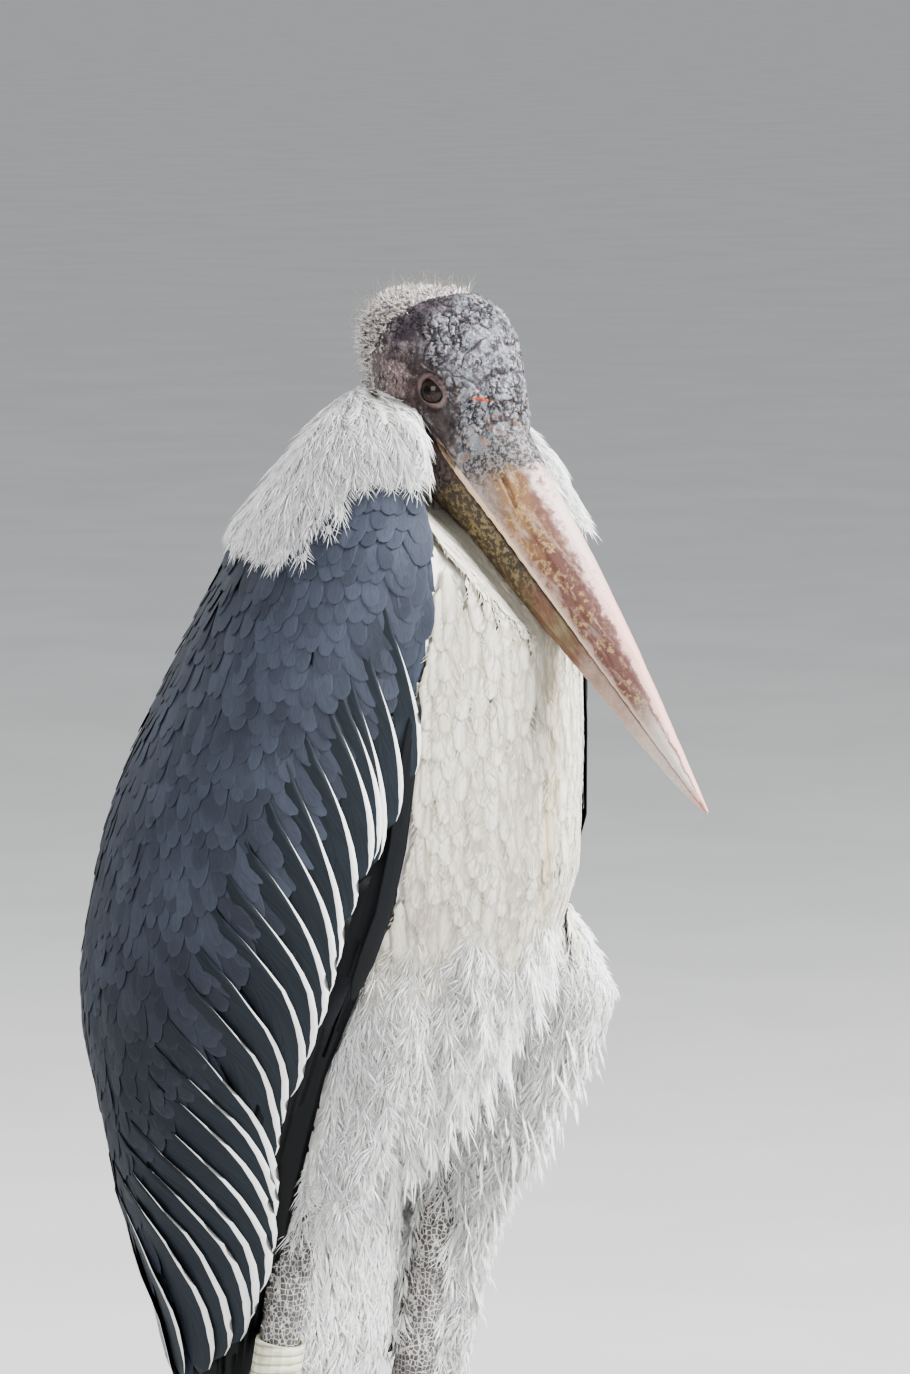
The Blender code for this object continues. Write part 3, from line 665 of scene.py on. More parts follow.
# ---- materials ----
class Look:
    """A procedural material, built up layer by layer over a first body colour."""

    def __init__(self, name, roughness, specular=0.5):
        self.made = bpy.data.materials.new(name)
        self.made.use_nodes = True
        self.tree = self.made.node_tree
        self.shader = self.tree.nodes["Principled BSDF"]
        self.set("Roughness", roughness)
        self.set("Specular IOR Level", specular)
        self.place = self.add("TexCoord").outputs["Object"]

    def set(self, socket, value):
        self.shader.inputs[socket].default_value = value

    def add(self, kind, inputs=(), **settings):
        """Adds a shader node. Its inputs may be given as values or as other nodes' sockets."""
        made = self.tree.nodes.new("ShaderNode" + kind)
        for key, value in settings.items():
            setattr(made, key, value)
        for key, value in dict(inputs).items():
            if isinstance(value, bpy.types.NodeSocket):
                self.tree.links.new(value, made.inputs[key])
            else:
                made.inputs[key].default_value = value
        return made

    def math(self, operation, first, second=0.0):
        return self.add("Math", {0: first, 1: second}, operation=operation).outputs[0]

    def plus(self, first, second):
        return self.math("ADD", first, second)

    def minus(self, first, second):
        return self.math("SUBTRACT", first, second)

    def times(self, first, *others):
        for other in others:
            first = self.math("MULTIPLY", first, other)
        return first

    def ramp(self, value, low, high, to_low=0.0, to_high=1.0):
        """An eased step: to_low where the value is under low, to_high where it is over high."""
        names = ("Value", "From Min", "From Max", "To Min", "To Max")
        inputs = dict(zip(names, (value, low, high, to_low, to_high)))
        return self.add("MapRange", inputs, interpolation_type="SMOOTHSTEP").outputs[0]

    def mix(self, share, first, second, how="MIX"):
        def colour(value):
            return value if isinstance(value, bpy.types.NodeSocket) else (*value[:3], 1.0)

        inputs = {0: share, 6: colour(first), 7: colour(second)}
        return self.add("Mix", inputs, data_type="RGBA", blend_type=how).outputs[2]

    def paint(self, share, colour, strength=1.0):
        """Lays a colour over the body where share is high."""
        self.body = self.mix(self.times(share, strength), self.body, colour)

    def noise(self, scale, detail=3.0, roughness=0.55, at=None):
        names = ("Vector", "Scale", "Detail", "Roughness")
        inputs = zip(names, (self.place if at is None else at, scale, detail, roughness))
        return self.add("TexNoise", inputs).outputs["Fac"]

    def mottled(self, scale, low=0.3, high=0.7, detail=3.0):
        """An even mottling, from 0 to 1."""
        return self.ramp(self.noise(scale, detail), low, high)

    def stretched(self, scale):
        return self.add("Mapping", {"Vector": self.place, "Scale": scale}).outputs[0]

    def vector(self, x=0.0, y=0.0, z=0.0):
        return self.add("CombineXYZ", {0: x, 1: y, 2: z}).outputs[0]

    def split(self, vector):
        return self.add("SeparateXYZ", {0: vector}).outputs

    def from_middle(self, middle):
        """The places, counted from a middle."""
        inputs = {0: self.place, 1: tuple(middle)}
        return self.add("VectorMath", inputs, operation="SUBTRACT").outputs[0]

    def attribute(self, name):
        return self.add("Attribute", attribute_name=name).outputs["Fac"]

    def read_vane(self):
        """Across (-1 to 1), off the shaft and along a feather, and the feather's own tone."""
        vane = self.split(self.add("UVMap", uv_map="vane").outputs[0])
        self.across = self.plus(self.times(vane[0], 2.0), -1.0)
        self.off_shaft, self.along = self.math("ABSOLUTE", self.across), vane[1]
        self.tone = self.attribute("tone")

    def barbs(self, fineness, slant):
        """Fine streaks that run out from the shaft towards the tip."""
        ahead = self.minus(self.along, self.times(self.off_shaft, slant))
        at = (self.times(ahead, fineness), self.times(self.off_shaft, 1.6), self.times(self.tone, 37.0))
        return self.noise(1.0, 3.0, 0.6, self.vector(*at))

    def shaded(self, colour, level):
        """A colour made lighter and darker by a level."""
        return self.mix(1.0, colour, self.vector(level, level, level), "MULTIPLY")

    def read_head(self):
        """The head's own places: a along the bill, u up from it, and out to the side."""
        place = self.from_middle(BILL_BASE)
        self.a, self.u = (
            self.add("VectorMath", {0: place, 1: tuple(way)}, operation="DOT_PRODUCT").outputs["Value"]
            for way in (FORWARD, UPWARD)
        )
        self.out = self.math("ABSOLUTE", self.split(place)[0])

    def spot(self, middle, radii, turn=0.0, soft=0.5, wobble=None):
        """A soft oval on the side of the head."""
        a, u = self.minus(self.a, middle[0]), self.minus(self.u, middle[1])
        cos, sin = math.cos(math.radians(turn)), math.sin(math.radians(turn))
        long_way = self.plus(self.times(a, cos), self.times(u, sin))
        short_way = self.minus(self.times(u, cos), self.times(a, sin))
        squares = (
            self.math("POWER", self.math("DIVIDE", way, radius), 2.0)
            for way, radius in zip((long_way, short_way), radii)
        )
        off = self.math("SQRT", self.plus(*squares))
        if wobble is not None:
            off = self.plus(off, wobble)
        return self.ramp(off, 1 - soft, 1 + soft, 1.0, 0.0)

    def below(self, value, low, high):
        """1 under low, falling to 0 at high."""
        return self.ramp(value, low, high, 1.0, 0.0)

    def finished(self, height=None, strength=0.0, distance=0.0):
        """Links the body colour, and a bump where there is one, and gives the material."""
        self.tree.links.new(self.body, self.shader.inputs["Base Color"])
        if height is not None:
            inputs = {"Height": height, "Strength": strength, "Distance": distance}
            self.tree.links.new(self.add("Bump", inputs).outputs[0], self.shader.inputs["Normal"])
        return self.made


PAINTED_SHADE_HEIGHT, PAINTED_LIGHT_HEIGHT = 0.48, 0.70  # heights between which painted light turns the slate and the quills paler upwards, out of painted shade below
PAINTED_SHADE_LEVEL, PAINTED_LIGHT_LEVEL = 0.62, 1.15


def feather_material(name, colour, roughness, pale_edge, shaft, fineness, bump, spread):
    """Firm feathers: barbs, a shaft, a paler worn edge, a tone of their own, and painted light from above.
    """
    look = Look(name, roughness, 0.22)
    look.read_vane()
    barbs = look.barbs(fineness, 0.45)
    less, more = 1 - spread / 2, 1 + spread / 2
    # Painted light and shade: the feathers are darker low on the wing and paler high up, where the light
    # from above falls.
    level = look.times(
        look.plus(look.times(barbs, 0.9), 0.55),
        look.ramp(look.noise(9.0), 0.3, 0.7, less, more),
        look.ramp(look.tone, 0.0, 1.0, less, more),
        look.ramp(look.split(look.place)[2], PAINTED_SHADE_HEIGHT, PAINTED_LIGHT_HEIGHT, PAINTED_SHADE_LEVEL, PAINTED_LIGHT_LEVEL),
    )
    look.body = look.shaded(colour, level)
    edge = look.math("MAXIMUM", look.ramp(look.off_shaft, 0.72, 1.0), look.ramp(look.along, 0.84, 1.0))
    look.paint(edge, tuple(min(1, c * 2.6) for c in colour), pale_edge)
    look.paint(look.below(look.off_shaft, 0.0, 0.07), tuple(c * 0.35 for c in colour), shaft)
    return look.finished(barbs, bump, 0.0008)


STRIPE_SHARE = 0.35  # how much of the half width the pale edge takes where it is widest


def striped_material(name, dark, pale):
    """Greater coverts: dark, with a crisp pale front edge that is widest near the tip."""
    look = Look(name, 0.55, 0.25)
    look.read_vane()
    barbs = look.barbs(60.0, 0.35)
    look.body = look.shaded(dark, look.ramp(barbs, 0.25, 0.75, 0.70, 1.45))
    look.paint(look.ramp(look.off_shaft, 0.0, 0.035, 0.55, 0.0), (0.004, 0.005, 0.007))
    growing = look.times(look.ramp(look.along, 0.22, 0.80), STRIPE_SHARE)
    width = look.times(growing, look.ramp(look.along, 0.80, 0.985, 1.0, 0.15))
    stripe = look.ramp(look.minus(look.across, look.minus(1.0, width)), 0.0, 0.035)
    look.paint(look.times(stripe, look.ramp(look.along, 0.20, 0.30)), pale)
    return look.finished(barbs, 0.25, 0.0007)


CREASE_SHADE = ((0.62, 0.50, 0.30), 0.014, 0.60, 0.90)  # painted warm shade in the breast's middle crease: colour, half width, lowest, highest


def down_material(name, colour, shade, plain=1.0, crease=None):
    """Soft feathers: faint streaks, shaded roots, and painted warm shade down a middle crease where asked.
    """
    look = Look(name, 0.85, 0.12)
    look.set("Subsurface Weight", 0.6)
    look.set("Subsurface Radius", (1.0, 0.95, 0.88))
    look.set("Subsurface Scale", 0.004)
    look.read_vane()
    look.body = look.mix(look.ramp(look.barbs(26.0, 0.5), 0.30, 0.70, 0.30 * plain, 0.0), colour, shade)
    look.paint(look.ramp(look.along, 0.0, 0.55, 0.40 * plain, 0.0), shade)
    look.paint(look.ramp(look.tone, 0.0, 1.0, 0.20 * plain, 0.0), shade)
    strands = look.noise(620.0, 3.0, 0.6, look.stretched((1.0, 1.0, 0.07)))
    look.paint(look.ramp(strands, 0.36, 0.56, 0.30, 0.0), shade)
    # Painted warm shade along the crease down the middle of the breast, in patches.
    if crease is not None:
        crease_shade_colour, half_width, low, high = crease
        place = look.split(look.place)
        off = look.math("ABSOLUTE", look.minus(place[0], MIDDLE_X))
        band = look.times(
            look.below(off, 0.0, half_width),
            look.ramp(place[2], low, low + 0.06),
            look.below(place[2], high - 0.08, high),
        )
        look.paint(look.times(band, look.ramp(look.noise(22.0), 0.35, 0.65, 0.25, 0.85)), crease_shade_colour)
    return look.finished(strands, 0.35, 0.0010)


# ---- the skin ----
BODY_FORM = [
    *("trunk", "mantle", "ruff", "neck", "vent_down"),
    *(
        f"{kind}_{side}"
        for kind in ("wing", "flight_feathers", "wing_tip", "thigh", "shank")
        for side, _ in SIDES
    ),
]
FORM_GRAIN = 0.0045
HEAD_GRAIN = 0.0012
LEG_GRAIN = 0.0022
HIDDEN_DEPTH = 0.003  # how far the coarse form is kept inside the finely made legs and neck
LID_OPENING = 0.0079
EYE_TILT = 15.0  # degrees that the eye's long way rises towards the bill
SKIN_SHARE = 0.42  # how many of the body's faces are kept under the coat
built = {}  # the forms that the coat is laid over


def make_form():
    mesh = keep_outermost(remeshed("form", BODY_FORM, FORM_GRAIN, 5, 0.0004))
    built["form"] = Form(mesh, [*BODY_FORM, "head", "tail"])
    return mesh


def inset_skin(mesh):
    """Draws the form inwards by the depth of its coat, less where the body is thin."""
    form = built["form"]
    points, tops = coordinates(mesh), normals(mesh)
    depths = np.empty(len(points))
    for i, (point, top) in enumerate(zip(points, tops)):
        kind = node_kind(form.node_at(point))
        depth = COAT_DEPTH.get(kind, 0.004)
        if kind in ("shank", "neck"):
            depth = HIDDEN_DEPTH
        hit = form.tree.ray_cast(Vector(point - top * 2e-4), Vector(-top), 0.06)
        depths[i] = min(depth, 0.33 * hit[3]) if hit[0] is not None else depth
    edges = np.empty(len(mesh.edges) * 2, int)
    mesh.edges.foreach_get("vertices", edges)
    edges = edges.reshape(-1, 2)
    links = np.bincount(edges.ravel(), minlength=len(points))
    for _ in range(4):
        near = np.bincount(edges[:, 0], depths[edges[:, 1]], len(points))
        near += np.bincount(edges[:, 1], depths[edges[:, 0]], len(points))
        depths = np.minimum(depths, 0.4 * depths + 0.6 * near / np.maximum(links, 1))
    set_coordinates(mesh, points - tops * depths[:, None])


def thinned(mesh, share):
    """The mesh with fewer faces, where the coat hides it."""
    obj = linked(mesh.name, mesh)
    obj.modifiers.new("fewer", "DECIMATE").ratio = share
    return baked(obj, mesh.name)


def refine_near(mesh, centres, radius):
    with editing(mesh) as bm:
        near = [e for e in bm.edges if any((e.verts[0].co - c).length < radius for c in centres)]
        bmesh.ops.subdivide_edges(bm, edges=near, cuts=1, use_grid_fill=True)
        bmesh.ops.triangulate(bm, faces=bm.faces[:])


def groove(a, u, path, width):
    """How deep a point lies in a groove that runs along a path on the side of the head."""
    deepest = np.zeros(len(a))
    for (a0, u0), (a1, u1) in zip(path, path[1:]):
        da, du = a1 - a0, u1 - u0
        t = np.clip(((a - a0) * da + (u - u0) * du) / (da * da + du * du), 0, 1)
        off = np.hypot(a - a0 - t * da, u - u0 - t * du)
        deepest = np.maximum(deepest, bell(off, 0, width))
    return deepest


BAND_EDGE = (  # up from the bill's line, along it: where the bare skin meets the band of down
    (-0.030, -0.066), (-0.015, -0.073), (0.000, -0.0896), (0.028, -0.0970), (0.048, -0.0955),
    (0.063, -0.0890), (0.080, -0.0800),
)
BAND_DEPTH = 0.004
FOREHEAD_GROOVES = (
    ((-0.050, 0.038), (-0.040, 0.044), (-0.027, 0.049), (-0.012, 0.050)),
    ((-0.040, 0.044), (-0.044, 0.056), (-0.047, 0.070)),
    ((-0.060, 0.034), (-0.070, 0.046), (-0.083, 0.052)),
    ((-0.027, 0.049), (-0.024, 0.060), (-0.022, 0.070)),
)
GAPE_FOLD = ((0.016, 0.000), (-0.0125, 0.001), (-0.026, -0.004), (-0.040, -0.010))
FACE_REACH = 0.012  # how far the skin of the face runs over the base of the bill
PLATE_SCALE = 125.0  # plates of bare skin to the metre


def skin_seams(points):
    """How deep each place lies in a seam between the plates of bare skin, 0 to 1."""
    a, u, _ = head_places(points)
    apart = np.empty(len(points))
    for i, point in enumerate(points):
        warp = noise.noise_vector(Vector(point) * 110.0) * 0.60
        near = noise.voronoi(Vector((point[0], point[1], point[2] * 1.35)) * PLATE_SCALE + warp)[0]
        apart[i] = near[1] - near[0]
    patchy = noise_at(points, 48.0)
    seams = (1 - smooth_step(0.01, 0.17, apart)) * (0.35 + 0.65 * smooth_step(0.010, 0.035, u))
    seams *= smooth_step(-0.50, 0.15, patchy)
    stray = np.array([noise.noise_vector(Vector(point) * 130.0) for point in points]) * 0.0030
    for path in FOREHEAD_GROOVES:
        seams = np.maximum(seams, 0.75 * groove(a + stray[:, 0], u + stray[:, 1], path, 0.0010))
    return seams * smooth_step(-0.115, -0.095, a)


def sculpt_head(mesh, lid):
    """Brows, cheeks, folds and crust, the band's step, and the sunk edge over the bill."""
    points, tops = coordinates(mesh), normals(mesh)
    a, u, o = head_places(points)
    lateral = np.abs(tops[:, 0])
    skull = smooth_step(-0.13, -0.11, a)
    brow = bell(a, -0.047, 0.017) * bell(u, 0.038, 0.0065) * (np.abs(o) > 0.018)
    cheek = bell(a, -0.058, 0.020) * bell(u, -0.008, 0.014) * (np.abs(o) > 0.012)
    hollow = bell(a, -0.020, 0.013) * bell(u, 0.022, 0.011) * (np.abs(o) > 0.015)
    move = 0.0016 * brow + 0.0012 * cheek - 0.0022 * hollow
    move -= 0.0009 * skin_seams(points)
    move -= 0.0016 * groove(a, u, GAPE_FOLD, 0.0018) * smooth_step(0.3, 0.7, lateral)
    crust, fine = noise_at(points, 190.0), noise_at(points, 420.0)
    top_side = smooth_step(0.020, 0.050, u) * skull
    move += (0.25 + 0.75 * top_side) * (0.0006 * np.maximum(crust, -0.1) + 0.00025 * fine) * skull
    move += 0.0005 * crust * (1 - skull)
    move -= BAND_DEPTH * smooth_step(-0.002, 0.006, line_through(BAND_EDGE, u) - a)
    sunk = smooth_step(FACE_REACH - 0.004, FACE_REACH, a + 0.005 * crust)
    move += 0.0006 * smooth_step(-0.020, -0.005, a) * (1 - sunk) - 0.0045 * sunk
    points = points + tops * move[:, None]
    set_lids(points, lid)
    set_coordinates(mesh, points)


def set_lids(points, lid):
    """Moves the points near each eye: an opening over the ball, with a thick rim round it."""
    a, u, o = head_places(points)
    ahead, above = a - EYE_ALONG, u - EYE_UP
    tilt = math.radians(EYE_TILT)
    long_way = ahead * math.cos(tilt) + above * math.sin(tilt)
    short_way = above * math.cos(tilt) - ahead * math.sin(tilt)
    off = np.hypot(long_way / 1.14, short_way / 0.88)
    near = (off < 0.019) & (np.abs(o) > EYE_OUT * 0.45)
    ball = EYE_OUT + np.sqrt(np.maximum(EYE_RADIUS**2 - np.hypot(ahead, above) ** 2, 0.0))
    rim = LID_OPENING + lid * 0.42
    lid_high = ball + 0.0003 + 0.0011 * bell(off, rim, lid * 0.42)
    lid_high = np.maximum(lid_high, EYE_OUT + 0.0035)
    behind = ball - 0.0028
    edge = smooth_step(LID_OPENING - 0.0009, LID_OPENING + 0.0006, off)
    target = behind + (lid_high - behind) * edge
    ridge_end = LID_OPENING + lid
    fold = 0.0010 * bell(off, ridge_end + 0.0008, 0.0010)
    share = 1 - smooth_step(ridge_end, ridge_end + 0.0055, off)
    moved = np.abs(o) * (1 - share) + target * share - fold
    points[:, 0] = MIDDLE_X + np.sign(o) * np.where(near, moved, np.abs(o))


def leg_mesh(side):
    """Shank, tarsus, foot and toes in one, slightly rough."""
    nodes = [f"{kind}_{side}" for kind in LEG_PAIRS] + [f"toe_{side}_{toe}" for toe in TOES]
    mesh = keep_outermost(remeshed("leg part", nodes, LEG_GRAIN, 5, 0.0003))
    points, tops = coordinates(mesh), normals(mesh)
    grain = noise_at(points, (260, 260, 150))
    set_coordinates(mesh, points + tops * (0.0003 * grain)[:, None])
    return mesh


def united(first, others, name):
    """One closed skin from meshes that run into one another."""
    whole = linked(name, first)
    tools = [linked("tool", mesh) for mesh in others]
    for tool in tools:
        join = whole.modifiers.new("join", "BOOLEAN")
        join.operation = "UNION"
        join.solver = "MANIFOLD"
        join.object = tool
    mesh = baked(whole, name)
    for tool in tools:
        old = tool.data
        bpy.data.objects.remove(tool)
        bpy.data.meshes.remove(old)
    return mesh


# Which of the skin's materials each tract has.
SKIN_REGIONS = {
    "bill": 0, "head": 0, "neck": 0, "trunk": 1, "ruff": 1, "vent_down": 1, "thigh": 1, "wing": 2,
    "mantle": 2, "flight_feathers": 3, "wing_tip": 3, "tail": 3, "shank": 4, "tarsus": 4,
    "foot": 4, "toe": 4,
}


def bare_skin_material(grey):
    """The face, from the broad patches up to the specks, cracks, lids and the line of the mouth."""
    look = Look("bare head skin", 0.62, 0.35)
    look.read_head()
    a, u, spot, ramp, below, times = look.a, look.u, look.spot, look.ramp, look.below, look.times
    broad, middle = look.noise(60.0, 4.0), look.noise(170.0, 4.0, 0.6)
    fine = look.noise(430.0, 4.0, 0.75)
    specks = look.noise(380.0, 4.0, 0.75, look.stretched((1.3, 1.0, 0.8)))
    wobble = ramp(middle, 0.2, 0.8, -0.5, 0.5)
    eye = (EYE_ALONG, EYE_UP)

    rear = spot((-0.072, 0.016), (0.046, 0.030), -10, 0.45, wobble)
    pink = spot((-0.050, 0.004), (0.036, 0.016), -24, 0.6, wobble)
    pale = times(ramp(fine, 0.53, 0.60), ramp(broad, 0.3, 0.6, 0.35, 1.0))
    blush = spot((-0.098, 0.052), (0.015, 0.018), 20, 0.6, wobble)
    flush = times(ramp(look.noise(85.0, 4.0, 0.6), 0.50, 0.62), ramp(u, 0.015, 0.030))
    rosy = times(ramp(look.noise(120.0, 4.0, 0.7), 0.58, 0.66), ramp(u, 0.020, 0.040))
    band = spot((-0.088, 0.048), (0.0085, 0.034), 8, 0.5, wobble)
    lores = spot((-0.020, 0.015), (0.022, 0.0085), -36, 0.5, wobble)
    behind = spot((-0.072, 0.036), (0.018, 0.010), -40, 0.6, wobble)
    root = times(ramp(a, -0.022, 0.002), ramp(u, 0.004, 0.014), ramp(middle, 0.46, 0.60))
    jaw = times(ramp(a, -0.030, -0.012), below(u, 0.000, 0.006))
    speckle = times(ramp(specks, 0.485, 0.54), ramp(look.noise(75.0), 0.40, 0.58, 0.10, 1.0))
    seams = look.attribute("seams")
    cracks = times(ramp(seams, 0.20, 0.75), ramp(broad, 0.30, 0.55, 0.55, 1.0))
    mask = spot((-0.036, 0.020), (0.030, 0.017), -30, 0.5, wobble)
    scab = times(ramp(middle, 0.55, 0.61), ramp(u, 0.030, 0.055))
    around = spot(eye, (0.0175, 0.0145), EYE_TILT, 0.28, wobble)
    lids = spot(eye, (0.0128, 0.0101), EYE_TILT, 0.10)
    crease = times(lids, ramp(fine, 0.54, 0.60))
    rim = spot(eye, (0.0096, 0.0075), EYE_TILT, 0.06)
    slit = spot((-0.0175, 0.0455), (0.0052, 0.0010), 38, 0.6, wobble)
    line = times(ramp(u, -0.0006, 0.0006), below(u, 0.0036, 0.0050), ramp(a, -0.022, -0.014))

    look.body = look.mix(ramp(broad, 0.35, 0.65), grey, tuple(c * 1.5 for c in grey))
    for share, colour, strength in (
        (rear, (0.105, 0.078, 0.078), 0.85),
        (pink, (0.235, 0.155, 0.140), 0.60),
        (pale, (0.56, 0.52, 0.51), 0.75),
        (blush, (0.48, 0.35, 0.35), 0.45),
        (flush, (0.37, 0.355, 0.37), 0.60),
        (rosy, (0.50, 0.40, 0.38), 0.55),
        (band, (0.026, 0.018, 0.030), 0.80),
        (lores, (0.030, 0.019, 0.017), 0.80),
        (behind, (0.030, 0.024, 0.030), 0.65),
        (root, (0.20, 0.095, 0.045), 0.65),
        (jaw, (0.075, 0.048, 0.042), 0.85),
        (speckle, (0.013, 0.010, 0.012), 0.88),
        (cracks, (0.016, 0.013, 0.018), 0.85),
        (mask, (0.030, 0.021, 0.021), 0.55),
        (scab, (0.030, 0.020, 0.022), 0.75),
        (around, (0.050, 0.033, 0.033), 0.75),
        (lids, (0.21, 0.155, 0.148), 0.88),
        (crease, (0.12, 0.08, 0.075), 0.6),
        (rim, (0.016, 0.011, 0.010), 0.95),
        (slit, (0.42, 0.075, 0.02), 0.9),
        (line, (0.58, 0.45, 0.32), 0.9),
    ):
        look.paint(share, colour, strength)
    height = look.minus(look.plus(times(fine, 0.6), middle), times(seams, 0.8))
    return look.finished(look.plus(height, times(speckle, 0.5)), 0.8, 0.0014)


def plain_skin_material(name, colour, other):
    look = Look(name, 0.8, 0.2)
    look.body = look.mix(look.mottled(34.0, detail=4.0), colour, other)
    return look.finished(look.noise(260.0), 0.4, 0.001)


def leg_material():
    """Dark scales with chalky lines between them, and patches of pale dust."""
    look = Look("leg scales", 0.72, 0.3)
    net = {"Vector": look.stretched((1.0, 1.0, 0.80)), "Scale": 330.0, "Randomness": 0.60}
    scales = look.add("TexVoronoi", net, feature="DISTANCE_TO_EDGE").outputs["Distance"]
    dark = look.mix(look.mottled(300.0), (0.045, 0.042, 0.044), (0.13, 0.12, 0.12))
    pale = look.mix(look.mottled(150.0), (0.42, 0.40, 0.38), (0.66, 0.64, 0.60))
    amount = look.ramp(look.noise(38.0, 4.0), 0.30, 0.70, 0.45, 1.0)
    look.body = look.mix(look.times(look.below(scales, 0.03, 0.13), amount), dark, pale)
    look.paint(look.ramp(look.noise(75.0, 5.0, 0.7), 0.50, 0.68), (0.50, 0.48, 0.45), 0.22)
    return look.finished(look.ramp(scales, 0.0, 0.14), 0.7, 0.0007)


class StorkSkin(bpy.types.Operator):
    """One skin for the body, head, neck and legs, lying under the coat."""

    bl_idname = "stork.skin"
    bl_label = "Skin"

    def execute(self, context):
        body = make_form()
        inset_skin(body)
        body = thinned(body, SKIN_SHARE)
        face = ["head", "neck", "eye_right", "eye_left"]
        root = bill_root(FACE_REACH + 0.008)
        head = keep_outermost(remeshed("head part", face, HEAD_GRAIN, 12, 0.0004, root))
        eyes = [EYE_MIDDLE + Vector((side * EYE_OUT, 0, 0)) for _, side in SIDES]
        refine_near(head, eyes, 0.017)
        sculpt_head(head, context.scene.stork_sizes.lid_width)
        built["head"] = Form(head, ["head", "neck"])
        mesh = united(body, [head, *(leg_mesh(side) for side, _ in SIDES)], "skin")
        tracts = Form(mesh, [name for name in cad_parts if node_kind(name) in SKIN_REGIONS])
        regions = [SKIN_REGIONS[node_kind(owner)] for owner in tracts.owners()]
        mesh.materials.clear()
        for material in (
            bare_skin_material(tuple(context.scene.stork_colours.skin)),
            plain_skin_material("skin under white down", (0.80, 0.78, 0.74), (0.66, 0.64, 0.60)),
            plain_skin_material("skin under slate", (0.045, 0.056, 0.075), (0.03, 0.037, 0.05)),
            plain_skin_material("skin under quills", (0.012, 0.013, 0.016), (0.02, 0.021, 0.025)),
            leg_material(),
        ):
            mesh.materials.append(material)
        mesh.polygons.foreach_set("material_index", regions)
        mesh.shade_smooth()
        points = coordinates(mesh)
        seams = np.zeros(len(points))
        on_head = np.linalg.norm(points - np.array(EYE_MIDDLE), axis=1) < 0.14
        seams[on_head] = skin_seams(points[on_head])
        mesh.attributes.new("seams", "FLOAT", "POINT").data.foreach_set("value", seams)
        replaced = ["head", "neck", "trunk", "mantle", "ruff", "vent_down"]
        for side, _ in SIDES:
            replaced += [f"{kind}_{side}" for kind in ("wing", "thigh", *LEG_PAIRS)]
            replaced += [f"toe_{side}_{toe}" for toe in TOES]
        finish_piece(linked("skin", mesh), "bare_skin", *replaced)
        return {"FINISHED"}


# ---- feathers ----
SKIN_UNWRAP = round_unwrap(body_axis, 0.18, 1.0)
STATIONS = 5  # places along the spine of a small feather
COVERT_SPACING = 0.0108


def stripe_line(angle):
    """Height at which the greater coverts begin, at an angle on the cloak."""
    return line_through([(angle, height) for height, angle in STRIPE_STARTS], angle)


def covert_heading(place):
    """Down the wing, drawn forward near the greater coverts."""
    side = 1 if place[0] > MIDDLE_X else -1
    angle = cloak_angle(place)
    pull = 0.75 * (1 - smooth_step(0.0, 0.11, place[2] - stripe_line(angle)))
    pull *= smooth_step(-50, -5, angle) * (1 - smooth_step(30, 44, angle))
    turn = math.radians(angle)
    front = np.array((-side * math.sin(turn), -math.cos(turn), 0))
    inward = np.array((-side, 0.0, 0.0)) * 0.125 * (1 - smooth_step(-45, -10, angle))
    return np.array((0, 0, -1.0)) + front * pull + inward


def sized(draw, count, low=0.88, high=1.12):
    return draw.uniform(low, high, count)


def lay_mixed(tract, shapes, pick, spines, tops, width, lift, unwrap, tone, lean=0.0):
    """Lays each feather with the shape picked for it."""
    width, low, high, lean = (np.broadcast_to(v, (len(pick),)) for v in (width, *lift, lean))
    for i, shape in enumerate(shapes):
        some = pick == i
        if some.any():
            lifts = (low[some], high[some])
            tract.lay(shape, spines[some], tops[some], width[some], lifts, unwrap, tone[some], lean[some])


def lay_rows(
    tract, shapes, form, roots, heading, length, width, lift, unwrap, draw, stray=0.08, keep_off=()
):
    """Lays a feather at each root with small changes of size and lean, its tip off some tracts."""
    count = len(roots)
    lengths = length * sized(draw, count)
    turns = draw.normal(0, stray, count)
    spines, tops = grow_spines(form, roots, heading, lengths, STATIONS, turns)
    widths = width * sized(draw, count)
    low = np.broadcast_to(lift[0], (count,))
    high = lift[1] * sized(draw, count, 0.5, 1.5)
    if keep_off:
        kept = np.array([node_kind(form.node_at(spine[-1])) not in keep_off for spine in spines])
        spines, tops, widths, low, high = (values[kept] for values in (spines, tops, widths, low, high))
        count = len(spines)
    lean = draw.normal(0, 0.0004, count)
    tone = draw.uniform(0, 1, count)
    pick = draw.integers(0, len(shapes), count)
    lay_mixed(tract, shapes, pick, spines, tops, widths, (low, high), unwrap, tone, lean)


def hang_fringe(tract, shapes, form, roots, length, half_width, unwrap, draw):
    """Down that hangs clear of the underside of a tract instead of following it."""
    spines, tops = [], []
    for root in roots:
        place, top = form.nearest(root)
        if top[2] > -0.30:
            continue
        out = np.array((place[0] - MIDDLE_X, place[1] - body_axis(place[2])[1], 0.0))
        out = unit(out + draw.normal(0, 0.02, 3) * (1, 1, 0))
        reach = length * draw.uniform(0.6, 1.2)
        way = np.array((0, 0, -1.0)) + out * draw.uniform(-0.10, 0.22) + draw.normal(0, 0.10, 3)
        spines.append([place - top * 0.006 + unit(way) * reach * f for f in np.linspace(0, 1, 4)])
        tops.append([unit(out + np.array((0, 0, 0.15)))] * 4)
    if spines:
        pick = draw.integers(0, len(shapes), len(spines))
        tone = draw.uniform(0, 1, len(spines))
        lift = (-0.001, 0.001)
        lay_mixed(tract, shapes, pick, np.array(spines), np.array(tops), half_width, lift, unwrap, tone)


def above_stripes(point):
    """How far a place on the wing lies above the line where the greater coverts begin."""
    return point[2] - stripe_line(cloak_angle(point))


def ruff_fringe(angle, side=-1):
    """Height of the collar's lower edge. On the left it hangs lower in front."""
    lower = 0.045 * (np.asarray(side) > 0) * bell(angle, LAPPET_ANGLE, 24.0)
    return line_through(RUFF_FRINGE, angle) - lower


WING_KINDS = ("wing", "flight_feathers", "wing_tip")
FOLDED = WING_KINDS[:2]


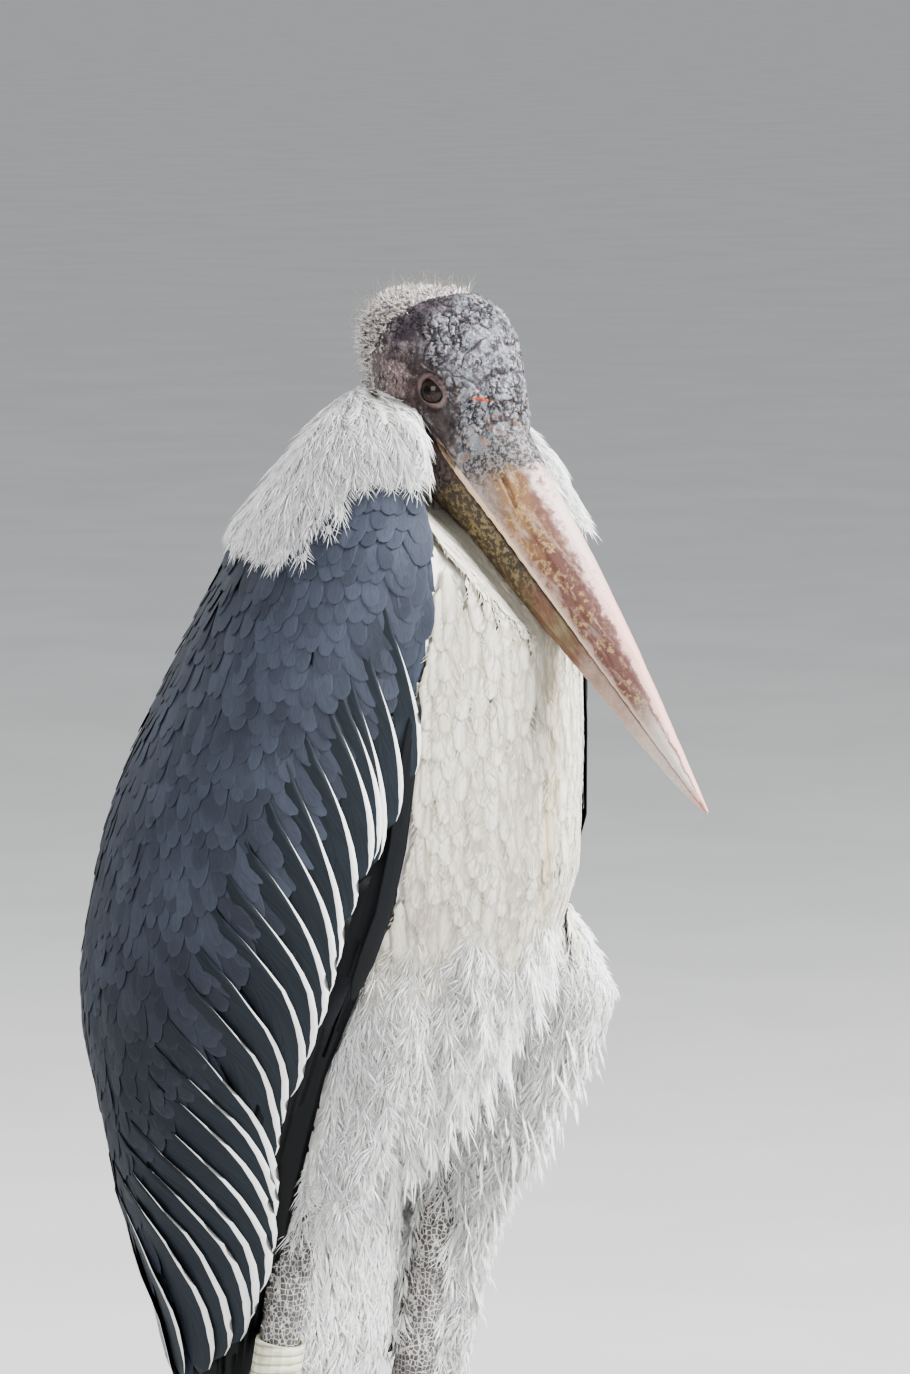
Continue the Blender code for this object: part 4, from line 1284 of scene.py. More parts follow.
class StorkCoverts(bpy.types.Operator):
    """Small slate feathers: back, shoulders, and the lesser and median wing coverts."""

    bl_idname = "stork.coverts"
    bl_label = "Back and coverts"

    def execute(self, context):
        sizes, colours = context.scene.stork_sizes, context.scene.stork_colours
        form = built["form"]
        slate = tuple(colours.slate)
        material = feather_material("slate feathers", slate, 0.62, 0.10, 0.22, 34.0, 0.30, 0.40)
        draw = np.random.default_rng(21)
        shapes = covert_shapes(draw, 4, 7, (0.0, 0.20, 0.45, 0.68, 0.84, 0.94, 1.0), 0.00035)
        heights = np.arange(0.44, 0.965, COVERT_SPACING)
        for side, sign in SIDES:
            tract = Tract()

            def on_wing(place, name, sign=sign):
                angle = cloak_angle(place)
                tucked = name == "ruff" and place[2] < ruff_fringe(angle) + 0.004 and angle < 44
                if (place[0] - MIDDLE_X) * sign < 0 or not (tucked or node_kind(name) in FOLDED):
                    return False
                crease = line_through(CREASE, place[2])
                front = line_through(WING_FRONT, place[2])
                return above_stripes(place) > 0.024 and crease - 4 < angle < front - 2.5

            roots = ring_roots(form, heights, COVERT_SPACING, on_wing, draw)
            angles = cloak_angle(roots)
            above = np.array([above_stripes(p) for p in roots])
            near = 1 - smooth_step(0.0, 0.16, above)
            length = sizes.covert_length * (0.62 + 0.40 * near)
            width = 0.0064 + 0.0034 * near - 0.0010 * smooth_step(30, 50, angles)
            lift = (-0.0014, 0.0008)
            lay_rows(tract, shapes, form, roots, covert_heading, length, width, lift, SKIN_UNWRAP, draw)
            tract.piece(f"coverts_{side}", material, "slate_feather", soften=0.8)

        tract = Tract()

        def on_back(place, name):
            if name == "mantle":
                return True
            angle = cloak_angle(place)
            under_ruff = name == "ruff" and place[2] < ruff_fringe(angle) + 0.004
            folded = node_kind(name) in FOLDED and place[2] > 0.42
            return (under_ruff or folded) and angle < line_through(CREASE, place[2]) + 1

        roots = ring_roots(form, np.arange(0.43, 0.985, 0.0120), 0.0115, on_back, draw)
        low = 1 - smooth_step(0.55, 0.85, roots[:, 2])
        length, width = sizes.scallop_length * (0.85 + 0.65 * low), 0.0062 + 0.0030 * low
        lift = (-0.0014, 0.0009)
        lay_rows(tract, shapes, form, roots, covert_heading, length, width, lift, SKIN_UNWRAP, draw)
        tract.piece("mantle_feathers", material, "slate_feather", soften=0.8)
        return {"FINISHED"}


TUCKED = 0.014  # how deep a wing feather dives under the down of the left thigh


def cloak_spine(form, side, rows, stations):
    """A spine through places on the cloak, given as heights and angles, tucked under a thigh."""
    spine, tops, under = [], [], []
    for share in np.linspace(0, 1, stations):
        height, angle = along_rows(rows, share)
        place, top = form.from_outside(height, turn_of(side, angle, height))
        if place is None:
            raise RuntimeError(f"No surface at height {height:.3f}, angle {angle:.0f}")
        spine.append(place)
        tops.append(top)
        under.append(form.node_at(place) == "thigh_left")
    under = np.array(under, float)
    for _ in range(2):
        padded = np.pad(under, 1, mode="edge")
        under = np.maximum(under, (padded[:-2] + padded[2:]) / 2)
    spine, tops = np.array(spine), np.array(tops)
    return spine - tops * (TUCKED * under)[:, None], tops


class StorkGreaterCoverts(bpy.types.Operator):
    """Long dark coverts, each with a pale front edge, lying over the flight feathers."""

    bl_idname = "stork.greater_coverts"
    bl_label = "Greater coverts"

    COUNT = 25
    STEPS = 22
    BEND = 0.34  # how far a covert bows forward, as a share of its own turn round the body
    WIDTHS = ((0, 0.0085), (0.15, 0.0125), (0.5, 0.0150), (0.8, 0.0175), (1, 0.0180))

    def rows(self, share, draw):
        """Heights and angles along the covert at a share of the way down the wing."""
        h0, t0 = along_rows(STRIPE_STARTS, share)
        h1, t1 = along_rows(STRIPE_TIPS, share)
        h1 += draw.uniform(-0.006, 0.006)
        rows = []
        for f in np.linspace(-0.28, 1.0, 16):
            inside = min(max(f, 0.0), 1.0)
            bow = self.BEND * math.sin(math.pi * inside)
            angle = t0 + (t1 - t0) * (f + bow) - 5.0 * (1 - inside)
            rows.append((h0 + (h1 - h0) * f, max(-89.0, min(angle, 54.0))))
        return rows, abs(t0) > 60

    def execute(self, context):
        colours = context.scene.stork_colours
        material = striped_material("greater coverts", tuple(colours.covert), tuple(colours.edge))
        draw = np.random.default_rng(5)
        places = (0, 0.12, 0.24, 0.34, 0.43, 0.51, 0.58, 0.65, 0.72, 0.79, 0.86, 0.92, 0.965, 1)
        shapes = covert_shapes(draw, 3, 9, places, 0.00030, 0.22, 0.72, 0.004)
        for side, sign in SIDES:
            tract = Tract()
            for i in range(self.COUNT):
                share = (i + 0.5 * draw.uniform(-0.25, 0.25)) / (self.COUNT - 1)
                share = min(max(share, 0.0), 1.0)
                rows, behind = self.rows(share, draw)
                spine, tops = cloak_spine(built["form"], sign, rows, self.STEPS)
                # The pale edge goes to the front: the feather is flipped where it wouldn't.
                across = np.cross(spine[11] - spine[9], tops[10])
                flip = 1.0 if across[1] < 0 or (behind and across[0] * sign > 0) else -1.0
                width, lift = line_through(self.WIDTHS, share), (-0.0020, 0.0026)
                tract.lay_one(shapes, i, spine, tops, width, lift, draw, 0.0030, flip)
            tract.piece(f"greater_coverts_{side}", material, "slate_feather", soften=0.4)
        return {"FINISHED"}


# Dark feathers on the very edge of each wing: degrees ahead of its leading edge, and the heights
# between which they lie.
EDGE_QUILLS = {"right": (-3.0,), "left": (-1.0, 3.0, 7.0, 11.0, 15.0)}
EDGE_SPAN = {"right": (0.790, 0.590), "left": (0.838, 0.560)}


class StorkFlightFeathers(bpy.types.Operator):
    """The bare black flight feathers and the tail."""

    bl_idname = "stork.flight_feathers"
    bl_label = "Flight feathers and tail"

    QUILLS = 12
    TAIL_QUILLS = 16
    STEPS = 12

    def quill_rows(self, share):
        """Heights and angles along a flight feather, from the foremost (0) to the hindmost (1)."""
        high = 0.775 - 0.26 * share
        low = 0.300 - 0.080 * min(1.0, share * 2.2)
        rows = []
        for f in np.linspace(0, 1, self.STEPS):
            height = high + (low - high) * f
            spread = (2.5 + 40 * share) * (1 - 0.35 * smooth_step(0.45, 0.25, height))
            back = 3.0 + spread * (0.35 + 0.65 * f) * 0.8
            rows.append((height, line_through(WING_FRONT, height) - back))
        return rows

    def edge_rows(self, span, i, ahead):
        """Heights and angles along a dark feather on the wing's edge."""
        start, end = span
        heights = np.linspace(start - 0.004 * i, end + 0.004 * i, self.STEPS)
        bows = ahead * np.sin(math.pi * (0.12 + 0.80 * np.linspace(0, 1, self.STEPS)))
        return [(h, line_through(WING_FRONT, h) + bow) for h, bow in zip(heights, bows)]

    def execute(self, context):
        form = built["form"]
        quill = tuple(context.scene.stork_colours.quill)
        material = feather_material("flight feathers", quill, 0.50, 0.06, 0.6, 70.0, 0.20, 0.3)
        draw = np.random.default_rng(9)
        places = (0.0, 0.06, 0.25, 0.5, 0.72, 0.86, 0.94, 0.985, 1.0)
        shapes = covert_shapes(draw, 3, 7, places, 0.0005, 0.10, 0.84, 0.004)
        for side, sign in SIDES:
            tract = Tract()
            for i in range(self.QUILLS):
                rows = self.quill_rows(i / (self.QUILLS - 1))
                spine, tops = cloak_spine(form, sign, rows, self.STEPS)
                flip = 1.0 if np.cross(spine[5] - spine[4], tops[4])[1] < 0 else -1.0
                tract.lay_one(shapes, i, spine, tops, 0.0120, (-0.0030, 0.0004), draw, 0.0010, flip)
            for i, ahead in enumerate(EDGE_QUILLS[side]):
                rows = self.edge_rows(EDGE_SPAN[side], i, ahead)
                spine, tops = cloak_spine(form, sign, rows, self.STEPS)
                tract.lay_one(shapes, i, spine, tops, 0.0062, (0.0020, 0.0050), draw)
            replaced = (f"flight_feathers_{side}", f"wing_tip_{side}")
            tract.piece(f"flight_quills_{side}", material, "black_feather", *replaced)
        self.tail(material, shapes, draw)
        return {"FINISHED"}

    def tail(self, material, shapes, draw):
        mesh = remeshed("tail form", ["tail"], 0.003, 4)
        form = Form(mesh, ["tail"])
        low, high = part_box("tail")
        centre = middle_of("tail").xy
        tract = Tract()
        for i in range(self.TAIL_QUILLS):
            turn = 2 * math.pi * (i + 0.5) / self.TAIL_QUILLS
            heights = np.linspace(high.z - 0.012, low.z + 0.003, 8)
            found = [form.from_outside(height, turn, centre) for height in heights]
            if all(place is not None for place, _ in found):
                spine, tops = (np.array(values) for values in zip(*found))
                tract.lay_one(shapes, i, spine, tops, 0.0110, (-0.0012, 0.0004), draw, 0.0006)
        for layer in ("OFBake", "vane"):
            mesh.uv_layers.new(name=layer)
        mesh.attributes.new("tone", "FLOAT", "POINT")
        show(mesh, "tail_core", material, "black_feather", "tail")
        tract.piece("tail_quills", material, "black_feather", "tail")


def downwards(_):
    return np.array((0, 0, -1.0))


def down_and_back(_):
    return np.array((0, 0.15, -1.0))


def soft_piece(name, material, shapes, form, roots, heading, *sizes, hang=None):
    """A piece of soft feathers. Sizes are length, width, lift, unwrap, draw, stray and keep_off."""
    tract = Tract()
    lay_rows(tract, shapes, form, roots, heading, *sizes)
    if hang is not None:
        hang_fringe(tract, shapes, form, roots, *hang, *sizes[3:5])
    tract.piece(name, material, "white_feather", soften=0.8)


class StorkBreast(bpy.types.Operator):
    """Cream scalloped feathers of the breast and softer white ones of the belly."""

    bl_idname = "stork.breast"
    bl_label = "Breast and belly"

    def execute(self, context):
        sizes, colours = context.scene.stork_sizes, context.scene.stork_colours
        form = built["form"]
        cream, white = tuple(colours.cream), tuple(colours.white)
        cream = down_material("breast feathers", cream, (0.68, 0.60, 0.45), 0.35, CREASE_SHADE)
        white = down_material("belly down", white, (0.70, 0.70, 0.68), 0.6)
        draw = np.random.default_rng(33)
        silky = plume_shapes(draw, 6, 18, 0.20, 0.62, 0.0001, 0.040)
        soft = plume_shapes(draw, 6, 18, 0.24, 0.34, 0.0008, 0.034)
        fluff = fluff_shapes(draw, 6, 30, 0.42, 0.0014, 0.034)

        def before_wings(place):
            slack = 1.0 + 6.0 * smooth_step(0.78, 0.84, place[2])
            return cloak_angle(place) > line_through(WING_FRONT, place[2]) - slack

        def below_breast(place):
            return 0.625 + 0.035 * noise.noise(Vector(place) * 28.0) - place[2]

        for side, sign in SIDES:

            def on_breast(place, name, sign=sign):
                half = name == "trunk" and (place[0] - MIDDLE_X) * sign >= 0
                return half and below_breast(place) < 0.022 and before_wings(place)

            tract = Tract()
            roots = scattered_roots(form, 0.0092, on_breast, draw)
            lay_rows(
                tract, silky, form, roots, downwards, sizes.breast_length, 0.0098, (-0.0012, 0.0002),
                SKIN_UNWRAP, draw, 0.10, WING_KINDS,
            )
            tract.piece(f"breast_feathers_{side}", cream, "white_feather", soften=0.9)

        def on_belly(place, name):
            return name == "trunk" and below_breast(place) > -0.012 and before_wings(place)

        for name, shapes, spacing, length, lift, hang in (
            ("belly_down", soft, 0.0125, 0.95, (-0.0030, 0.0008), None),
            ("belly_fluff", fluff, 0.0108, 0.85, (-0.0010, 0.0030), (0.040, 0.0110)),
        ):
            roots = scattered_roots(form, spacing, on_belly, draw)
            soft_piece(
                name, white, shapes, form, roots, down_and_back, sizes.breast_length * length, 0.0120,
                lift, SKIN_UNWRAP, draw, 0.22, WING_KINDS, hang=hang,
            )
        return {"FINISHED"}


class StorkDown(bpy.types.Operator):
    """Loose white down of the thighs and under the tail."""

    bl_idname = "stork.down"
    bl_label = "Thighs and vent"

    def execute(self, context):
        sizes, form = context.scene.stork_sizes, built["form"]
        white = tuple(context.scene.stork_colours.white)
        material = down_material("thigh down", white, (0.68, 0.68, 0.67), 0.6)
        draw = np.random.default_rng(14)
        soft = plume_shapes(draw, 6, 18, 0.24, 0.32, 0.0010, 0.034)
        fluff = fluff_shapes(draw, 6, 30, 0.45, 0.0018, 0.036)
        for node in ("thigh_right", "thigh_left", "vent_down"):
            low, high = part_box(node)
            centre = ((low.x + high.x) / 2, (low.y + high.y) / 2)
            unwrap = round_unwrap(centre, low.z - 0.03, high.z + 0.02)
            for kind, shapes, spacing, length, width, lift, hang in (
                ("plumes", soft, 0.0110, 0.75, 0.0100, (-0.0050, 0.0010), None),
                ("fluff", fluff, 0.0088, 0.62, 0.0105, (-0.0020, 0.0036), (0.030, 0.0100)),
            ):
                roots = scattered_roots(form, spacing, lambda _, owner: owner == node, draw)
                soft_piece(
                    f"{node}_{kind}", material, shapes, form, roots, downwards,
                    sizes.down_length * length, width, lift, unwrap, draw, 0.30, WING_KINDS, hang=hang,
                )
        return {"FINISHED"}


class StorkRuff(bpy.types.Operator):
    """The white collar of loose plumes, fanning out from the nape."""

    bl_idname = "stork.ruff"
    bl_label = "Ruff"

    def execute(self, context):
        sizes, form = context.scene.stork_sizes, built["form"]
        white = tuple(context.scene.stork_colours.white)
        material = down_material("ruff plumes", white, (0.80, 0.80, 0.79), 0.6)
        draw = np.random.default_rng(77)
        soft = plume_shapes(draw, 7, 22, 0.26, 0.30, 0.0008, 0.034)
        fluff = fluff_shapes(draw, 6, 26, 0.40, 0.0012, 0.034)
        low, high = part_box("ruff")
        nape = np.array((MIDDLE_X, high.y - 0.045, high.z))

        def heading(place):
            away = place - nape
            away = away / max(np.linalg.norm(away), 1e-6)
            return away * 0.9 + np.array((0, 0, -0.75))

        def in_ruff(place, owner):
            side = place[0] - MIDDLE_X
            lappet = side > 0.02 and owner in ("wing_left", "trunk") and place[2] < 0.96
            over = place[2] > ruff_fringe(cloak_angle(place), side) + 0.006
            return over and (lappet or owner in ("ruff", "mantle"))

        unwrap = round_unwrap((MIDDLE_X, middle_of("neck").y), low.z - 0.02, high.z + 0.02)
        for name, shapes, spacing, width, lift in (
            ("ruff_plumes", soft, 0.0080, 0.0078, (-0.0040, 0.0026)),
            ("ruff_fluff", fluff, 0.0078, 0.0080, (-0.0020, 0.0040)),
        ):
            roots = scattered_roots(form, spacing, in_ruff, draw)
            angles, side = cloak_angle(roots), roots[:, 0] - MIDDLE_X
            over = roots[:, 2] - ruff_fringe(angles, side)
            length = np.clip(over / 0.80 + 0.010, 0.016, sizes.ruff_length * 0.8)
            loose = (side > 0) * bell(angles, LAPPET_ANGLE, 22.0) * (1 - smooth_step(0.02, 0.07, over))
            lift = (lift[0] + 0.005 * loose, lift[1] + 0.008 * loose)
            sizes_here = (length, width, lift, unwrap, draw, 0.14)
            soft_piece(name, material, shapes, form, roots, heading, *sizes_here)
        return {"FINISHED"}


def tuft_shapes(draw, variants, hairs, width):
    """Loose hair-like feathers that spring from one root."""
    shapes = []
    for _ in range(variants):
        parts = []
        for _ in range(hairs):
            end = draw.uniform(0.65, 1.1)
            out = draw.normal(0, 0.75)
            start = draw.uniform(-0.25, 0.25)
            parts.append(barb(0.0, start, end, out, width, width * 0.02 + draw.uniform(0, 0.001)))
        shapes.append(joined_shapes(parts))
    return shapes


def wisp_shapes(draw, variants, hairs, width):
    """Long fine curved hairs."""
    shapes = []
    for _ in range(variants):
        parts = []
        for _ in range(hairs):
            places = (0.0, 0.15, 0.35, 0.55, 0.75, 0.92, 1.0)
            hair = vane_shape(lambda _: width, places, 3, 0.00006)
            hair.s = hair.s + draw.normal(0, 0.5) * hair.t + draw.normal(0, 0.9) * hair.t**2
            hair.t = hair.t * draw.uniform(0.7, 1.1)
            hair.c = hair.c + draw.normal(0, 0.002) * hair.t**2
            parts.append(hair)
        shapes.append(joined_shapes(parts))
    return shapes


class StorkCrest(bpy.types.Operator):
    """The band of white down over the back of the head, and the brown wisps on it."""

    bl_idname = "stork.crest"
    bl_label = "Head down"

    def execute(self, context):
        head = built["head"]
        wisp_length = context.scene.stork_sizes.wisp_length
        draw = np.random.default_rng(41)
        white = down_material("head down", (0.72, 0.66, 0.63), (0.50, 0.43, 0.40))
        brown = down_material("head wisps", (0.17, 0.115, 0.07), (0.08, 0.05, 0.03))
        low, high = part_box("head")
        unwrap = round_unwrap(((low + high) / 2).xy, low.z - 0.02, high.z + 0.02)

        def on_band(place, _):
            a, u, _ = head_places(place[None])
            return a[0] < line_through(BAND_EDGE, u[0]) and u[0] > -0.032

        # The hairs stand off the head, so their spines are drawn straight, away from it.
        for name, material, spacing, length, width, out in (
            ("head_down", white, 0.0020, 0.0068, 0.0032, 0.40),
            ("head_wisps", brown, 0.0050, wisp_length * 1.1, 0.0065, 0.58),
        ):
            roots = scattered_roots(head, spacing, on_band, draw)
            spines = np.empty((len(roots), 4, 3))
            tops = np.empty_like(spines)
            for i, root in enumerate(roots):
                place, top = head.nearest(root)
                stray = draw.normal(0, 0.55, 3)
                ahead = -np.array(FORWARD) * 0.75 + np.array((0, 0, -0.15)) + stray
                ahead = ahead - top * (ahead @ top)
                way = unit(ahead) * (1 - out) + top * out
                reach = length * draw.uniform(0.7, 1.35)
                curl = unit(np.cross(way, draw.normal(0, 1, 3))) * reach * 0.16
                for k, f in enumerate(np.linspace(0, 1, 4)):
                    spines[i, k] = place - top * 0.001 + way * reach * f + curl * f * f
                tops[i] = unit(np.cross(way, np.array((1.0, 0.2, 0.1))))
            if name == "head_down":
                shapes = tuft_shapes(draw, 6, 11, 0.030)
            else:
                shapes = wisp_shapes(draw, 6, 3, 0.018)
            pick = draw.integers(0, len(shapes), len(roots))
            tone = draw.uniform(0, 1, len(roots))
            tract = Tract()
            lay_mixed(tract, shapes, pick, spines, tops, width, (0.0, 0.0), unwrap, tone)
            tract.piece(name, material, "white_feather")
        return {"FINISHED"}


# ---- bill, eyes, claws, ring ----
def bill_share(look, low, slope, curve):
    """How far up the upper half, or down the lower one, a place lies: 0 at the mouth, 1 at the edge."""
    reach = look.plus(look.times(look.plus(look.times(look.a, curve), slope), look.a), low)
    return look.math("DIVIDE", look.u, reach)


def paint_upper_bill(look, pink, broad, middle, fine, grain):
    """Pink horn with a rusty band, a pale ridge, a scaly base and the line of the mouth."""
    a, ramp, below, times = look.a, look.ramp, look.below, look.times
    share = bill_share(look, 0.047, -0.115, -0.16)
    at = look.plus(share, ramp(middle, 0.2, 0.8, -0.09, 0.09))
    further = look.plus(a, ramp(broad, 0.2, 0.8, -0.05, 0.05))
    slant = look.plus(a, times(share, -0.024))
    edge = look.plus(slant, ramp(middle, 0.2, 0.8, -0.009, 0.009))

    band = times(ramp(at, 0.10, 0.26), below(at, 0.78, 0.92), below(a, 0.195, 0.255))
    band = times(band, ramp(grain, 0.30, 0.50, 0.25, 1.0))
    rust = look.mix(ramp(further, 0.045, 0.11), (0.225, 0.118, 0.046), (0.120, 0.045, 0.033))
    gold = times(band, ramp(look.noise(230.0, 4.0, 0.7), 0.52, 0.60))
    maroon = times(ramp(at, 0.62, 0.78), below(at, 0.86, 0.94), ramp(grain, 0.40, 0.52), ramp(a, 0.02, 0.06))
    salmon = look.mix(ramp(a, 0.06, 0.17), (0.62, 0.49, 0.47), (0.66, 0.385, 0.33))
    pale = times(ramp(a, 0.190, 0.240), below(at, 0.72, 0.84))
    blue = look.spot((0.024, 0.010), (0.024, 0.008))
    crust = times(below(edge, 0.004, 0.030), ramp(fine, 0.465, 0.53))
    lip = times(below(share, 0.085, 0.120), ramp(a, 0.12, 0.20, 1.0, 0.35))
    shadow = times(below(share, 0.02, 0.05), ramp(a, 0.06, 0.10))

    look.body = look.mix(ramp(middle, 0.3, 0.7), tuple(c * 0.78 for c in pink), (0.40, 0.33, 0.31))
    return (
        (band, rust, 0.94),
        (gold, (0.52, 0.38, 0.18), 0.6),
        (maroon, (0.13, 0.055, 0.055), 0.7),
        (ramp(at, 0.86, 0.95), salmon, 0.92),
        (pale, (0.62, 0.55, 0.48), 0.85),
        (below(edge, 0.004, 0.020), (0.165, 0.165, 0.175), 0.9),
        (blue, (0.20, 0.21, 0.24), 0.50),
        (crust, (0.020, 0.014, 0.013), 0.90),
        (lip, (0.62, 0.48, 0.34), 0.9),
        (shadow, (0.05, 0.03, 0.025), 0.8),
    )


def paint_lower_bill(look, broad, middle, grain):
    """Olive and maroon horn, crusted at its base and pale towards its tip."""
    a, ramp, below, times = look.a, look.ramp, look.below, look.times
    share = bill_share(look, -0.037, 0.10, 0.09)
    further = look.plus(a, ramp(broad, 0.2, 0.8, -0.02, 0.02))

    olive = look.mix(ramp(middle, 0.3, 0.7), (0.125, 0.098, 0.048), (0.235, 0.200, 0.115))
    maroon = times(ramp(further, 0.075, 0.11), ramp(grain, 0.36, 0.56))
    lip = times(below(share, 0.02, 0.07), ramp(a, 0.10, 0.14, 1.0, 0.25))
    crumbs = ramp(look.noise(260.0, 5.0, 0.75), 0.435, 0.510)
    dark = times(below(further, 0.000, 0.045), ramp(middle, 0.40, 0.55))

    look.body = look.mix(below(further, -0.012, 0.012), olive, (0.075, 0.050, 0.048))
    return (
        (maroon, (0.150, 0.062, 0.045), 0.88),
        (ramp(further, 0.145, 0.190), (0.40, 0.285, 0.245), 0.9),
        (ramp(a, 0.195, 0.235), (0.55, 0.46, 0.41), 0.9),
        (lip, (0.07, 0.04, 0.03), 0.85),
        (times(ramp(further, 0.075, 0.135, 1.0, 0.15), crumbs), (0.020, 0.014, 0.012), 0.92),
        (dark, (0.045, 0.026, 0.022), 0.75),
    )


def bill_material(part, pink):
    look = Look(part.replace("_", " "), 0.5, 0.4)
    look.read_head()
    a, times = look.a, look.times
    broad, middle = look.noise(42.0, 4.0, 0.6), look.noise(130.0, 4.0, 0.65)
    fine = look.noise(420.0, 4.0, 0.75)
    along_grain = look.vector(times(a, 22.0), times(look.u, 110.0), times(look.out, 60.0))
    grain = look.noise(1.8, 5.0, 0.65, along_grain)
    if part == "bill_upper":
        layers = paint_upper_bill(look, pink, broad, middle, fine, grain)
    else:
        layers = paint_lower_bill(look, broad, middle, grain)
    freckles = times(
        look.ramp(fine, 0.58, 0.64), look.ramp(broad, 0.40, 0.60), look.ramp(a, 0.15, 0.20, 1.0, 0.1)
    )
    tip = look.ramp(a, 0.262, 0.282)
    for share, colour, strength in (
        *layers, (tip, (0.60, 0.30, 0.26), 0.75), (freckles, (0.09, 0.05, 0.04), 0.6)
    ):
        look.paint(share, colour, strength)
    height = look.plus(look.plus(grain, times(middle, 0.6)), times(fine, look.ramp(a, 0.0, 0.10, 0.8, 0.1)))
    return look.finished(height, 0.55, 0.0010)


NOSTRIL = ((0.030, 0.0245), (0.050, 0.0205))
NOSTRIL_GROOVE = ((0.050, 0.0205), (0.110, 0.0150), (0.180, 0.0085))


class StorkBill(bpy.types.Operator):
    """The long heavy bill, its nostrils and its grooves."""

    bl_idname = "stork.bill"
    bl_label = "Bill"

    def execute(self, context):
        pink = tuple(context.scene.stork_colours.horn)
        for part in ("bill_upper", "bill_lower"):
            mesh = remeshed(part + "_horn", [part], 0.0011, 7, 0.0001)
            points, tops = coordinates(mesh), normals(mesh)
            a, u, o = head_places(points)
            move = np.zeros(len(points))
            if part == "bill_upper":
                sideways = smooth_step(0.4, 0.8, np.abs(tops[:, 0]))
                move -= 0.0026 * groove(a, u, NOSTRIL, 0.0013) * sideways
                move -= 0.0005 * groove(a, u, NOSTRIL_GROOVE, 0.0012)
            streak = noise_at(np.stack([a, u, o], axis=1), (26, 210, 120))
            rough = noise_at(points, 170.0)
            root = 1 - smooth_step(0.02, 0.10, a)
            move += 0.00035 * streak + (0.00015 + 0.0004 * root) * rough
            set_coordinates(mesh, points + tops * move[:, None])
            show(mesh, part + "_horn", bill_material(part, pink), "bill_horn", part)
        return {"FINISHED"}


def eye_material(centre):
    look = Look("eye", 0.06, 0.32)
    place = look.from_middle(centre)
    parts = look.split(place)
    flat = look.vector(0.0, parts[1], parts[2])
    off = look.add("VectorMath", {0: flat}, operation="LENGTH").outputs["Value"]
    rays = look.ramp(look.noise(900.0, 3.0, at=place), 0.3, 0.7)
    look.body = look.mix(rays, (0.010, 0.005, 0.003), (0.034, 0.017, 0.009))
    look.paint(look.below(off, 0.0029, 0.0033), (0.002, 0.002, 0.002))
    look.paint(look.ramp(off, 0.0062, 0.0072), (0.02, 0.014, 0.012))
    return look.finished()


class StorkEyes(bpy.types.Operator):
    """Dark brown eyes."""

    bl_idname = "stork.eyes"
    bl_label = "Eyes"

    def execute(self, context):
        for side, _ in SIDES:
            centre = middle_of(f"eye_{side}")
            mesh = bpy.data.meshes.new(f"eyeball_{side}")
            with editing(mesh) as bm:
                bmesh.ops.create_uvsphere(bm, u_segments=48, v_segments=32, radius=EYE_RADIUS)
                bmesh.ops.translate(bm, verts=bm.verts[:], vec=centre)
            show(mesh, f"eyeball_{side}", eye_material(centre), "eye_brown", f"eye_{side}")
        return {"FINISHED"}


def claw_material():
    look = Look("claw horn", 0.45, 0.4)
    look.body = look.mix(look.mottled(180.0, detail=4.0), (0.035, 0.030, 0.028), (0.12, 0.105, 0.095))
    return look.finished(look.noise(500.0), 0.3, 0.0006)


class StorkClaws(bpy.types.Operator):
    """Eight blunt claws."""

    bl_idname = "stork.claws"
    bl_label = "Claws"

    def execute(self, context):
        material = claw_material()
        for side, _ in SIDES:
            nodes = [f"claw_{side}_{toe}" for toe in TOES]
            mesh = remeshed(f"claws_{side}", nodes, 0.0008, 3, 0.0002)
            show(mesh, f"claws_{side}", material, "claw_horn", *nodes)
        return {"FINISHED"}


def ring_material():
    """Dull plastic with ribs, grime between them."""
    look = Look("ring plastic", 0.42, 0.45)
    ribbed = {"Vector": look.place, "Scale": 52.0, "Distortion": 1.2, "Detail": 2.0}
    ribs = look.add("TexWave", ribbed, bands_direction="Z").outputs["Fac"]
    grime = look.ramp(look.noise(90.0, 4.0, 0.65), 0.42, 0.68)
    look.body = look.mix(look.times(grime, 0.5), (0.62, 0.64, 0.50), (0.27, 0.24, 0.15))
    look.paint(look.below(ribs, 0.0, 0.30), (0.16, 0.125, 0.075), 0.6)
    return look.finished(ribs, 0.6, 0.0008)


class StorkRing(bpy.types.Operator):
    """The plain plastic ring on the right leg."""

    bl_idname = "stork.ring"
    bl_label = "Leg ring"

    def execute(self, context):
        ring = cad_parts["leg_ring"]
        ring.data.materials.clear()
        ring.data.materials.append(ring_material())
        return {"FINISHED"}


# ---- stage ----
LAMP_AIM = Vector((MIDDLE_X, -0.037, 0.62))
LAMPS = (  # name, place, side of the square, watts
    ("key", (0.9, -3.2, 3.6), 2.0, 600.0),
    ("fill", (-6.4, -2.6, 3.4), 4.5, 330.0),
    ("rim", (0.5, 3.2, 2.6), 2.0, 50.0),
)
CAMERA_AIM = Vector((MIDDLE_X, -0.0372, 0.783))
CAMERA_AZIMUTH, CAMERA_ELEVATION = math.radians(-52), math.radians(6)
CAMERA_DISTANCE = 5.0
CAMERA_LENS = 201.0
FLOOR_HALF = 150.0


def floor_material():
    look = Look("floor", 0.9)
    look.body = look.mix(look.mottled(3.0), (0.62, 0.62, 0.61), (0.66, 0.66, 0.65))
    return look.finished()


def placed(name, data, place, aim):
    """A lamp or camera that looks from its place at its aim."""
    made = bpy.data.objects.new(name, data)
    made.location = place
    made.rotation_euler = (aim - Vector(place)).to_track_quat("-Z", "Y").to_euler()
    bpy.context.scene.collection.objects.link(made)
    return made


